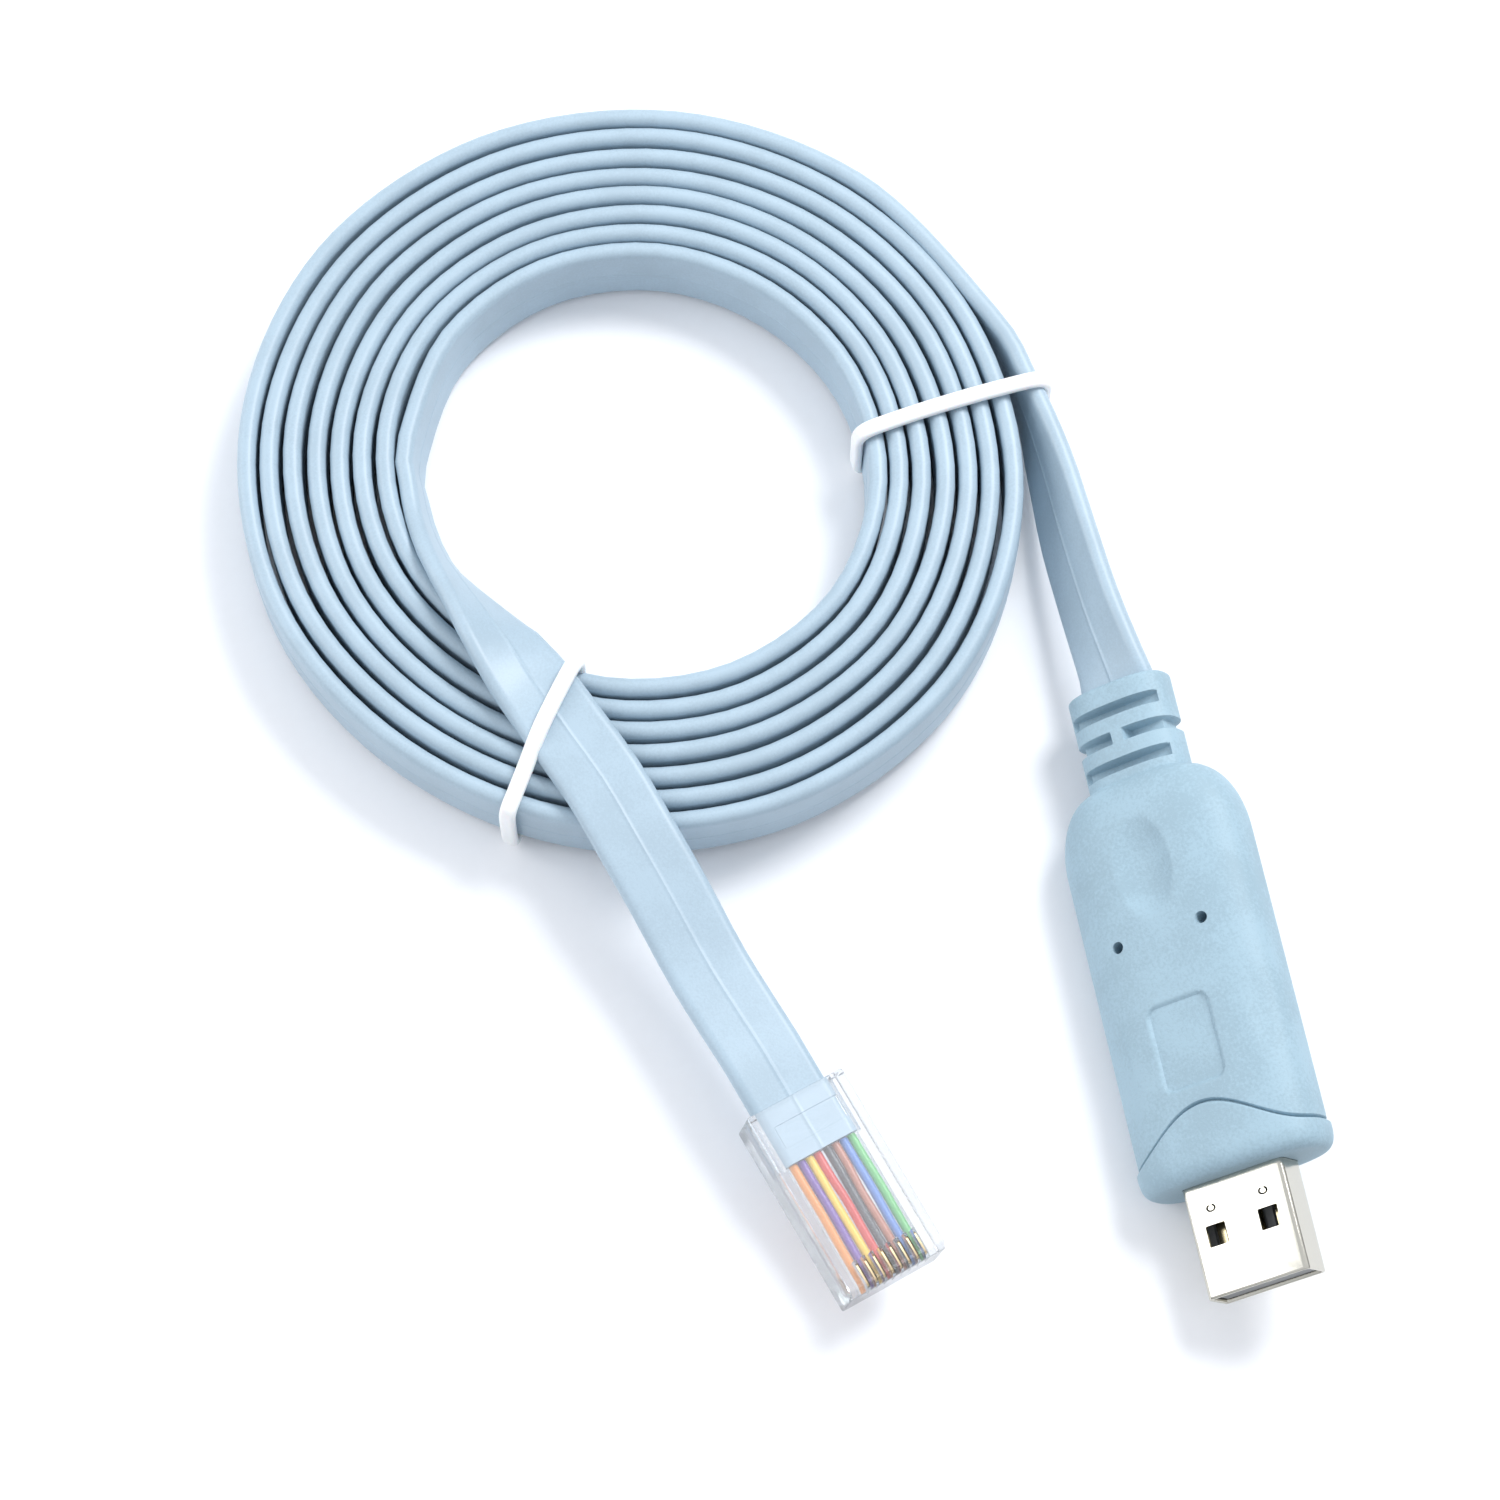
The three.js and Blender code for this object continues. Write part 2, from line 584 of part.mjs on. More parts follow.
function buildTies() {
  const ties = new THREE.Group();
  const inside = COIL_INNER_RADIUS - TIE_SLACK;
  const overTurns = COIL_TOP + GAP;
  const overTail = LYING_HEIGHT + RIBBON_THICKNESS / 2 + GAP;
  const pastTail = TAIL_RADIUS + RIBBON_THICKNESS / 2 + TIE_SLACK;
  const adapterTie = tie(fromCoil(inside, -10.5), fromCoil(pastTail, 0.6), [[1, overTurns]]);
  add(ties, "tie_adapter_side", adapterTie, tieWhite);
  const plugTie = tie(fromCoil(inside, 246.4), fromCoil(COIL_OUTER_RADIUS + TIE_SLACK, 242.3), [
    [1, overTurns],
    [PLUG_TIE_HUMP, overTail],
  ]);
  add(ties, "tie_plug_side", plugTie, tieWhite);
  return ties;
}

const cable = new THREE.Group();
cable.add(buildRibbon(), buildTies(), buildAdapter(), buildClearPlug());

export default cable;
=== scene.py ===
"""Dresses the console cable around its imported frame: the flat ribbon wound on its edge and
tied, the moulded adapter with its flat four-way plug, and the clear eight-way plug with its
wires and contacts.
Lengths are in millimetres until a mesh is made, and then in metres.
"""

import math

import bmesh
import bpy
from bpy.props import FloatProperty, FloatVectorProperty, IntProperty, PointerProperty
from mathutils import Euler, Matrix, Vector


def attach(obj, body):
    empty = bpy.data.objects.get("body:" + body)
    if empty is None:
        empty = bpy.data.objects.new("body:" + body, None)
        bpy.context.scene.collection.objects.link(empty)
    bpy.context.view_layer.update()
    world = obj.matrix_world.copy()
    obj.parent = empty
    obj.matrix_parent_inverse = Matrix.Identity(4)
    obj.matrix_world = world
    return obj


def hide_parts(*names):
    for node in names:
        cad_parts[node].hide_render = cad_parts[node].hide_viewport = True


bl_info = {
    "name": "Console cable",
    "version": (1, 0, 0),
    "blender": (4, 5, 0),
    "location": "View3D > Sidebar > Cable",
    "description": "Flat ribbon cable with a moulded adapter and a clear plug",
    "category": "Object",
}

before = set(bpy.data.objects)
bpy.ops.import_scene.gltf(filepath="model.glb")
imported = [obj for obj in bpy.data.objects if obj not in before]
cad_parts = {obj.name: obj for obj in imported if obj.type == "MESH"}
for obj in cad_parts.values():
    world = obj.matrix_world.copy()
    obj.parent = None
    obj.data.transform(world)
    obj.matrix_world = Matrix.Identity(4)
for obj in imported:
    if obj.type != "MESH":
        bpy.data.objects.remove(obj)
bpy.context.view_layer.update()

MM = 0.001
UP = Vector((0, 0, 1))

# Where the part's own source puts the ribbon's route and the two plugs
COIL_X, COIL_Y = -46.5, 70.8
AXIS_HEIGHT = 7.985  # of the rolled adapter
HOUSING_ROLL = 32.8
HOUSING_FRONT = -21.775
TAIL_EXIT = 33.825
CLEAR_PLACE = Vector((-44.6, -4.3, 8.33))
CLEAR_TURN = Euler((math.radians(4.5), math.radians(7), math.radians(18.5)), "YXZ")
CLEAR_ROLL = 7
JACKET_DEPTH = 6.3


def linear(colour):
    """An sRGB hex colour as linear red, green and blue."""
    parts = [int(colour[i : i + 2], 16) / 255 for i in (1, 3, 5)]
    return tuple(
        c / 12.92 if c <= 0.04045 else ((c + 0.055) / 1.055) ** 2.4 for c in parts
    )


def length(name, description, millimetres):
    return FloatProperty(
        name=name, description=description, default=millimetres * MM, unit="LENGTH"
    )


def colour(name, description, value):
    return FloatVectorProperty(
        name=name,
        description=description,
        default=linear(value),
        subtype="COLOR",
        min=0,
        max=1,
    )


class RibbonSettings(bpy.types.PropertyGroup):
    width: length("Width", "Width of the flat ribbon", 9.0)
    thickness: length("Thickness", "Thickness of the flat ribbon", 2.05)
    edge: length("Edge radius", "Radius of the ribbon's rounded edges", 0.98)
    ridge: length("Ridge", "Height of the fine line along each flat side", 0.06)
    step: length("Step", "Distance between two rings of the ribbon", 2.6)
    colour: colour("Colour", "Colour of the jacket", "#a3b7c5")


class TieSettings(bpy.types.PropertyGroup):
    width: length("Width", "Width of a tie", 1.85)
    thickness: length("Thickness", "Thickness of a tie", 1.05)
    colour: colour("Colour", "Colour of the ties", "#eef0f1")


class AdapterSettings(bpy.types.PropertyGroup):
    dimple: length("Dimple", "Depth of the thumb dimple", 0.8)
    groove: length("Groove", "Depth of the wave groove behind the front lip", 0.62)
    lip: length("Lip", "How far the front lip stands proud", 0.32)
    hole: length("Hole", "Diameter of the two pin holes", 1.3)
    colour: colour("Colour", "Colour of the housing", "#97b1bf")
    metal: colour("Metal", "Colour of the plug's shell", "#cbc8be")


class ClearPlugSettings(bpy.types.PropertyGroup):
    wire: length("Wire", "Diameter of one insulated wire", 0.96)
    pitch: length("Pitch", "Distance between two wires", 1.02)
    bevel: length("Bevel", "Rounding of the clear body's edges", 0.22)
    sides: IntProperty(
        name="Sides", description="Sides of each wire's round", default=14, min=6, max=32
    )


class StageSettings(bpy.types.PropertyGroup):
    distance: length("Distance", "From the camera to the middle of the view", 500)
    elevation: FloatProperty(
        name="Elevation",
        description="Camera's angle above the floor",
        default=math.radians(70.5),
        subtype="ANGLE",
    )
    azimuth: FloatProperty(
        name="Azimuth",
        description="Camera's angle round the object",
        default=math.radians(-11.7),
        subtype="ANGLE",
    )
    lens: FloatProperty(
        name="Lens", description="Focal length in millimetres", default=108.84
    )
    floor: colour("Floor", "Colour of the floor", "#f4f5f8")


def smooth(low, high, value):
    """0 below low, 1 above high, and a soft S between them."""
    share = min(max((value - low) / (high - low), 0), 1)
    return share * share * (3 - 2 * share)


def signed_power(value, power):
    return math.copysign(abs(value) ** power, value)


# Meshes


def linked(name, data):
    made = bpy.data.objects.new(name, data)
    bpy.context.scene.collection.objects.link(made)
    return made


def mesh_object(name, points, faces):
    """A mesh object from points in millimetres."""
    mesh = bpy.data.meshes.new(name)
    mesh.from_pydata([Vector(p) * MM for p in points], [], faces)
    return linked(name, mesh)


def placed(made, matrix):
    """Moves a mesh to its place, given in millimetres, and leaves its object at the origin."""
    made.data.transform(Matrix.Scale(MM, 4) @ matrix @ Matrix.Scale(1 / MM, 4))


def outward(mesh):
    """Closes small gaps and turns every face outwards."""
    work = bmesh.new()
    work.from_mesh(mesh)
    bmesh.ops.remove_doubles(work, verts=work.verts, dist=0.000002)
    bmesh.ops.recalc_face_normals(work, faces=work.faces)
    if work.calc_volume(signed=True) < 0:
        bmesh.ops.reverse_faces(work, faces=work.faces)
    work.to_mesh(mesh)
    work.free()


def shade(made, angle):
    """Smooth faces, with a crease wherever two of them meet at more than the angle."""
    mesh = made.data
    mesh.polygons.foreach_set("use_smooth", [True] * len(mesh.polygons))
    mesh.set_sharp_from_angle(angle=math.radians(angle))


def baked(made):
    """Replaces an object's mesh by what its modifiers make of it, and removes them."""
    graph = bpy.context.evaluated_depsgraph_get()
    result = bpy.data.meshes.new_from_object(made.evaluated_get(graph))
    old = made.data
    made.modifiers.clear()
    made.data = result
    bpy.data.meshes.remove(old)
    result.name = made.name
    return made


def removed(gone):
    mesh = gone.data
    bpy.data.objects.remove(gone)
    bpy.data.meshes.remove(mesh)


def combined(target, tool, operation):
    """Joins a tool to a target mesh or cuts it out, and removes the tool."""
    outward(tool.data)
    change = target.modifiers.new("change", "BOOLEAN")
    change.operation = operation
    change.object = tool
    change.solver = "EXACT"
    baked(target)
    removed(tool)


def finished(made, material, angle=35, replaces=()):
    """Closes the piece, gives it its finish and ties it to the frame."""
    outward(made.data)
    shade(made, angle)
    made.data.materials.clear()
    made.data.materials.append(material)
    for face in made.data.polygons:
        face.material_index = 0
    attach(made, "root")
    if replaces:
        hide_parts(*replaces)
    return made


def rings_to_mesh(rings):
    """Points and faces of a skin over rings of equally many points, closed at both ends."""
    count = len(rings[0])
    points = [p for ring in rings for p in ring]
    faces = []
    for row in range(len(rings) - 1):
        for i in range(count):
            j = (i + 1) % count
            low, high = row * count, (row + 1) * count
            faces.append((low + i, low + j, high + j, high + i))
    faces.append(tuple(range(count - 1, -1, -1)))
    faces.append(tuple(range((len(rings) - 1) * count, len(rings) * count)))
    return points, faces


def rounded_outline(width, height, radius, corner_steps=5, middle=()):
    """A rounded rectangle's outline, anticlockwise, with extra points along its long sides."""
    outline = []
    corners = [(1, 1, 0), (-1, 1, 90), (-1, -1, 180), (1, -1, 270)]
    for number, (side_x, side_y, start) in enumerate(corners):
        for step in range(corner_steps + 1):
            turn = math.radians(start + 90 * step / corner_steps)
            outline.append(
                (
                    side_x * (width / 2 - radius) + radius * math.cos(turn),
                    side_y * (height / 2 - radius) + radius * math.sin(turn),
                )
            )
        if number in (0, 2):
            for x, rise in middle:
                outline.append((side_x * x, side_y * (height / 2 + rise)))
    return outline


def round_outline(radius, sides):
    turns = [2 * math.pi * k / sides for k in range(sides)]
    return [(radius * math.cos(turn), radius * math.sin(turn)) for turn in turns]


def block(size, centre, radius=0.0):
    """A block, whose upright edges may be rounded."""
    width, depth, height = size
    x, y = width / 2, depth / 2
    outline = [(x, y), (-x, y), (-x, -y), (x, -y)]
    if radius:
        outline = rounded_outline(width, depth, radius, 4)
    rings = [
        [(centre[0] + x, centre[1] + y, centre[2] + side * height / 2) for x, y in outline]
        for side in (-1, 1)
    ]
    return mesh_object("block", *rings_to_mesh(rings))


# Routes


def through(controls, step):
    """A smooth line through control points, each a tuple of numbers, in steps about that long."""
    line = []
    last = len(controls) - 1
    for i in range(last):
        p0 = controls[max(i - 1, 0)]
        p1, p2 = controls[i], controls[i + 1]
        p3 = controls[min(i + 2, last)]
        span = math.dist(p1[:3], p2[:3])
        count = max(1, round(span / step))
        for k in range(count):
            t = k / count
            weights = (
                (-t + 2 * t**2 - t**3) / 2,
                (2 - 5 * t**2 + 3 * t**3) / 2,
                (t + 4 * t**2 - 3 * t**3) / 2,
                (t**3 - t**2) / 2,
            )
            line.append(
                tuple(
                    sum(w * p[axis] for w, p in zip(weights, (p0, p1, p2, p3)))
                    for axis in range(len(p1))
                )
            )
    line.append(tuple(controls[-1]))
    return line


def from_coil(radius, angle):
    turn = math.radians(angle)
    return COIL_X + radius * math.cos(turn), COIL_Y + radius * math.sin(turn)


# The coil stands on its two ties and, across from them, on the floor
TIE_UNDER = 1.2
ADAPTER_TIE_SPOT = from_coil(34, -5)
SUPPORTS = [
    Vector((*ADAPTER_TIE_SPOT, TIE_UNDER)),
    Vector((*from_coil(34, 244), TIE_UNDER)),
    Vector((*from_coil(44, 120), 0.05)),
]
TILT = (SUPPORTS[1] - SUPPORTS[0]).cross(SUPPORTS[2] - SUPPORTS[0])


def coil_base(x, y):
    """Height of the coil's lower edge over the floor."""
    start = SUPPORTS[0]
    return start.z - (TILT.x * (x - start.x) + TILT.y * (y - start.y)) / TILT.z


# The winding: each lap lies further in, on rounds that are a little oval and off centre
LAP_PITCH = 2.562
FIRST_RADIUS = 44.632
WINDING_TURNED = 11.7
WINDING_START, WINDING_END, WINDING_STEP = 24, 2695, 30

# How far the laps stand off those rounds where the ties and the crossing ribbon press them:
# direction in degrees, millimetres for the innermost lap, millimetres for the outermost one
PRESSED = [
    (0, -0.5, -0.4),
    (45, -0.65, -0.35),
    (90, -0.4, 0.05),
    (140, -0.1, 0.45),
    (180, 0.0, -0.25),
    (203, -0.2, -1.2),
    (230, -0.8, -2.1),
    (262, -0.6, -1.5),
    (290, -0.4, -0.9),
    (320, -0.1, -0.35),
    (360, -0.5, -0.4),
]


def pressed(direction, out):
    """The change of radius in a direction, for a lap that lies so far out, from 0 to 1."""
    for (a, inner_a, outer_a), (b, inner_b, outer_b) in zip(PRESSED, PRESSED[1:]):
        if a <= direction <= b:
            share = smooth(a, b, direction)
            before = inner_a + (outer_a - inner_a) * out
            after = inner_b + (outer_b - inner_b) * out
            return before + (after - before) * share
    return 0.0


def winding_radius(angle):
    """Distance of the ribbon's middle line from the coil's centre."""
    laps = angle / 360
    inner = laps / 7
    turn = math.radians(angle)
    return (
        FIRST_RADIUS
        - LAP_PITCH * laps
        + (0.27 + 0.22 * inner) * math.cos(turn)
        - (1.57 - 1.31 * inner) * math.sin(turn)
        - 0.376 * math.sin(2 * turn)
        + 0.07 * math.sin(3.3 * turn + 1)
        + pressed((angle - WINDING_TURNED) % 360, 1 - angle / WINDING_END)
    )


def in_clear_plug(x, y, z):
    return CLEAR_TURN.to_matrix() @ Vector((x, y, z)) + CLEAR_PLACE


TIE_ROOM = 0.12  # between the coil's top and the ribbon that lies on it
CROSSING = (-59, 40)


def ribbon_controls(width, thickness):
    """The ribbon's middle line and, as a fourth number, the angle of its width to the floor."""
    standing = width / 2
    controls = [
        (0, TAIL_EXIT - 1.4, AXIS_HEIGHT, HOUSING_ROLL),
        (0, TAIL_EXIT + 0.3, AXIS_HEIGHT, HOUSING_ROLL + 4),
        (-0.15, TAIL_EXIT + 3, AXIS_HEIGHT - 0.1, 47),
        (-0.75, 44, AXIS_HEIGHT - 0.6, 55),
        (-1.1, 53, 6.6, 59),
        (-1.15, 62, 5.9, 69),
    ]
    stations = [(44.75, 0.5, 0, 86)]
    for angle in range(WINDING_START, WINDING_END, WINDING_STEP):
        wobble = 0.16 * math.sin(math.radians(angle) * 0.83)
        leaning = 3 * smooth(1900, 2690, angle) + 2.5 * smooth(2630, 2700, angle)
        radius = winding_radius(angle)
        stations.append((radius, angle - WINDING_TURNED, wobble, 90 - leaning))
    stations += [(24.6, 174, 0.2, 82.5), (24.35, 186, 0.4, 78.5)]
    for radius, direction, lift, roll in stations:
        x, y = from_coil(radius, direction)
        controls.append((x, y, coil_base(x, y) + standing + lift, roll))
    controls += [
        (-69.75, 63.5, 7.2, 74),
        (-68.55, 60.4, 8.2, 66),
        (-67.2, 57.25, 9.3, 56),
        (-65.85, 53.95, 10.4, 43),
        (-64.55, 50.85, 11.35, 28),
    ]
    resting = coil_base(*CROSSING) + width + thickness / 2 + TIE_ROOM
    for x, y, drop, roll in [
        (-63.15, 47.65, 0.15, 14),
        (-61.5, 43.9, 0, 5),
        (-59.6, 39.4, 0, 0),
        (-57.1, 33.5, 0, 0),
        (-54.8, 26.4, 0.2, 0),
        (-52.6, 19.7, 1.3, 1),
        (-50.0, 11.2, 2.6, 4),
    ]:
        controls.append((x, y, resting - drop, roll))
    for y in (6, 3, 0, -JACKET_DEPTH / 2, -JACKET_DEPTH):
        controls.append((*in_clear_plug(0, y, 0), CLEAR_ROLL))
    return controls


def with_across(line):
    """Each point of a line with the direction of the width there, from its fourth number."""
    stations = []
    for i, (x, y, z, roll) in enumerate(line):
        before, after = line[max(i - 1, 0)], line[min(i + 1, len(line) - 1)]
        along = (Vector(after[:3]) - Vector(before[:3])).normalized()
        level = along.cross(UP).normalized()
        rise = level.cross(along)
        turn = math.radians(roll)
        stations.append(
            (Vector((x, y, z)), level * math.cos(turn) + rise * math.sin(turn))
        )
    return stations


# Node trees

BLADE_THICKNESS = 0.24


def add_node(tree, kind, inputs=None, **settings):
    """Adds a node, with its settings and, by socket name or number, its values and links."""
    made = tree.nodes.new(kind)
    for name, value in settings.items():
        setattr(made, name, value)
    for name, value in (inputs or {}).items():
        socket = made.inputs[name]
        if isinstance(value, bpy.types.NodeSocket):
            tree.links.new(value, socket)
        else:
            socket.default_value = value
    return made


def new_tree(name, sockets):
    tree = bpy.data.node_groups.new(name, "GeometryNodeTree")
    for way in ("OUTPUT", "INPUT"):
        tree.interface.new_socket(
            "Geometry", in_out=way, socket_type="NodeSocketGeometry"
        )
    for label, kind, default in sockets:
        made = tree.interface.new_socket(label, in_out="INPUT", socket_type=kind)
        if default is not None:
            made.default_value = default
    return tree


def ended(tree, geometry, material):
    """Ends a tree in real meshes with one material."""
    real = add_node(tree, "GeometryNodeRealizeInstances", {0: geometry})
    dressed = add_node(
        tree, "GeometryNodeSetMaterial", {"Geometry": real.outputs[0], "Material": material}
    )
    add_node(tree, "NodeGroupOutput", {0: dressed.outputs[0]})


def strand_tree():
    """Sweeps a section along a line whose points carry the direction of the width."""
    tree = new_tree(
        "Swept strand",
        [
            ("Section", "NodeSocketObject", None),
            ("Material", "NodeSocketMaterial", None),
        ],
    )
    given = add_node(tree, "NodeGroupInput")
    line = add_node(tree, "GeometryNodeMeshToCurve", {0: given.outputs["Geometry"]})
    across = add_node(
        tree, "GeometryNodeInputNamedAttribute", {"Name": "across"}, data_type="FLOAT_VECTOR"
    )
    framed = add_node(
        tree,
        "GeometryNodeSetCurveNormal",
        {"Curve": line.outputs[0], "Normal": across.outputs[0]},
        mode="FREE",
    )
    section = add_node(
        tree, "GeometryNodeObjectInfo", {"Object": given.outputs["Section"]}
    )
    outline = add_node(
        tree, "GeometryNodeMeshToCurve", {0: section.outputs["Geometry"]}
    )
    swept = add_node(
        tree,
        "GeometryNodeCurveToMesh",
        {
            "Curve": framed.outputs[0],
            "Profile Curve": outline.outputs[0],
            "Fill Caps": True,
        },
    )
    ended(tree, swept.outputs[0], given.outputs["Material"])
    return tree


def row_tree():
    """Stands equal thin plates with rounded corners in a row."""
    tree = new_tree(
        "Row of plates",
        [
            ("Count", "NodeSocketInt", 8),
            ("Pitch", "NodeSocketFloat", 1.02 * MM),
            ("Length", "NodeSocketFloat", 2.6 * MM),
            ("Height", "NodeSocketFloat", 2.2 * MM),
            ("Thickness", "NodeSocketFloat", BLADE_THICKNESS * MM),
            ("Corner", "NodeSocketFloat", 0.3 * MM),
            ("Material", "NodeSocketMaterial", None),
        ],
    )
    given = add_node(tree, "NodeGroupInput")
    size = given.outputs
    outline = add_node(
        tree,
        "GeometryNodeCurvePrimitiveQuadrilateral",
        {"Width": size["Length"], "Height": size["Height"]},
    )
    rounded = add_node(
        tree,
        "GeometryNodeFilletCurve",
        {
            "Curve": outline.outputs[0],
            "Radius": size["Corner"],
            "Count": 4,
        },
        mode="POLY",
    )
    filled = add_node(
        tree, "GeometryNodeFillCurve", {"Curve": rounded.outputs[0]}, mode="NGONS"
    )
    raised = add_node(
        tree,
        "GeometryNodeExtrudeMesh",
        {"Mesh": filled.outputs[0], "Offset Scale": size["Thickness"], "Individual": False},
    )
    back = add_node(tree, "GeometryNodeFlipFaces", {"Mesh": filled.outputs[0]})
    plate = add_node(tree, "GeometryNodeJoinGeometry")
    tree.links.new(raised.outputs["Mesh"], plate.inputs[0])
    tree.links.new(back.outputs[0], plate.inputs[0])
    offset = add_node(tree, "ShaderNodeCombineXYZ", {"X": size["Pitch"]})
    places = add_node(
        tree,
        "GeometryNodeMeshLine",
        {"Count": size["Count"], "Offset": offset.outputs[0]},
        mode="OFFSET",
    )
    standing = add_node(
        tree,
        "GeometryNodeInstanceOnPoints",
        {
            "Points": places.outputs[0],
            "Instance": plate.outputs[0],
            "Rotation": (math.radians(90), 0, math.radians(90)),
        },
    )
    ended(tree, standing.outputs[0], size["Material"])
    return tree


def with_tree(made, tree, **values):
    """Gives an object a tree as its modifier, sets the inputs by identifier and bakes it."""
    change = made.modifiers.new("tree", "NODES")
    change.node_group = tree
    for socket in tree.interface.items_tree:
        if socket.item_type == "SOCKET" and socket.in_out == "INPUT":
            if socket.name in values:
                change[socket.identifier] = values[socket.name]
    made.update_tag()
    return baked(made)


def swept(name, stations, outline, material, cyclic=False):
    """A strand along stations, each a point in millimetres and the direction of its width."""
    count = len(stations)
    mesh = bpy.data.meshes.new(name)
    edges = [(i, (i + 1) % count) for i in range(count if cyclic else count - 1)]
    mesh.from_pydata([point * MM for point, _ in stations], edges, [])
    across = mesh.attributes.new("across", "FLOAT_VECTOR", "POINT")
    across.data.foreach_set(
        "vector", [value for _, direction in stations for value in direction]
    )
    made = linked(name, mesh)
    sides = len(outline)
    section_mesh = bpy.data.meshes.new("section")
    section_mesh.from_pydata(
        [(x * MM, y * MM, 0) for x, y in outline],
        [(i, (i + 1) % sides) for i in range(sides)],
        [],
    )
    section = linked("section", section_mesh)
    tree = bpy.data.node_groups.get("Swept strand") or strand_tree()
    with_tree(made, tree, Section=section, Material=material)
    removed(section)
    return made


# Finishes


def new_material(name):
    made = bpy.data.materials.new(name)
    made.use_nodes = True
    tree = made.node_tree
    shader = tree.nodes["Principled BSDF"]
    place = add_node(tree, "ShaderNodeTexCoord").outputs["Object"]
    return made, tree, shader, place


def noise(tree, place, millimetres, detail, **inputs):
    """A noise texture with a grain of that size."""
    values = {"Vector": place, "Scale": 1 / (millimetres * MM), "Detail": detail}
    return add_node(tree, "ShaderNodeTexNoise", {**values, **inputs})


def gloss_and_bump(tree, shader, pattern, low, high, strength, depth):
    """Lets a pattern vary the roughness between two values and raise the surface by some mm."""
    gloss = add_node(
        tree, "ShaderNodeMapRange", {"Value": pattern, "To Min": low, "To Max": high}
    )
    tree.links.new(gloss.outputs[0], shader.inputs["Roughness"])
    if depth:
        bump = add_node(
            tree,
            "ShaderNodeBump",
            {"Height": pattern, "Strength": strength, "Distance": depth * MM},
        )
        tree.links.new(bump.outputs[0], shader.inputs["Normal"])


CLOUD = 6  # mm, the size of the faint patches in a moulded plastic's tone


def moulded(name, base, roughness, grain, relief, mottle=0.05, subsurface=0.0):
    """A plastic with a fine grain and a faint unevenness in its colour and gloss."""
    made, tree, shader, place = new_material(name)
    cloud = noise(tree, place, CLOUD, 3.0)
    fine = noise(tree, place, grain, 2.0, Roughness=0.6)
    both = add_node(
        tree,
        "ShaderNodeMath",
        {0: cloud.outputs["Fac"], 1: fine.outputs["Fac"]},
        operation="ADD",
    )
    halved = add_node(
        tree, "ShaderNodeMath", {0: both.outputs[0], 1: 0.5}, operation="MULTIPLY"
    )
    ramp = add_node(tree, "ShaderNodeValToRGB", {"Fac": halved.outputs[0]})
    for number, position, change in ((0, 0.42, -mottle), (1, 0.58, mottle)):
        stop = ramp.color_ramp.elements[number]
        stop.position = position
        stop.color = (*(min(1, c * (1 + change)) for c in base), 1)
    tree.links.new(ramp.outputs["Color"], shader.inputs["Base Color"])
    gloss_and_bump(
        tree, shader, fine.outputs["Fac"], roughness - 0.06, roughness + 0.06, 0.35, relief
    )
    shader.inputs["IOR"].default_value = 1.5
    shader.inputs["Subsurface Weight"].default_value = subsurface
    shader.inputs["Subsurface Scale"].default_value = 0.6 * MM
    return made


def ribbon_jacket(base):
    # Extruded PVC, satin: a soft broad sheen along each turn's top and a very fine matt grain
    return moulded("satin PVC jacket", base, 0.42, 0.26, 0.03, mottle=0.045)


def housing_plastic(base):
    # Overmoulded soft PVC from a spark-eroded mould: an even matt grain with no sharp highlight
    return moulded("moulded soft PVC", base, 0.58, 0.34, 0.09, mottle=0.07)


def tie_plastic(base):
    # Plastic-coated wire: smooth, slightly glossy white
    return moulded(
        "white PE coating", base, 0.38, 0.4, 0.02, mottle=0.015, subsurface=0.15
    )


def tongue_plastic():
    # Moulded PBT: a hard grey insulator with a dull shine
    return moulded("grey PBT", linear("#77797b"), 0.45, 0.3, 0.02, mottle=0.02)


def plated_metal(name, base, roughness, streak):
    """A plated sheet metal with fine drawing marks along the plug's axis."""
    made, tree, shader, place = new_material(name)
    stretched = add_node(
        tree, "ShaderNodeMapping", {"Vector": place, "Scale": (1.0, 0.05, 1.0)}
    )
    marks = noise(tree, stretched.outputs[0], streak, 3.0)
    gloss_and_bump(
        tree, shader, marks.outputs["Fac"], roughness - 0.08, roughness + 0.1, 0.12, 0.01
    )
    shader.inputs["Base Color"].default_value = (*base, 1)
    shader.inputs["Metallic"].default_value = 1.0
    return made


HAZE_LOW, HAZE_HIGH = 0.05, 0.16


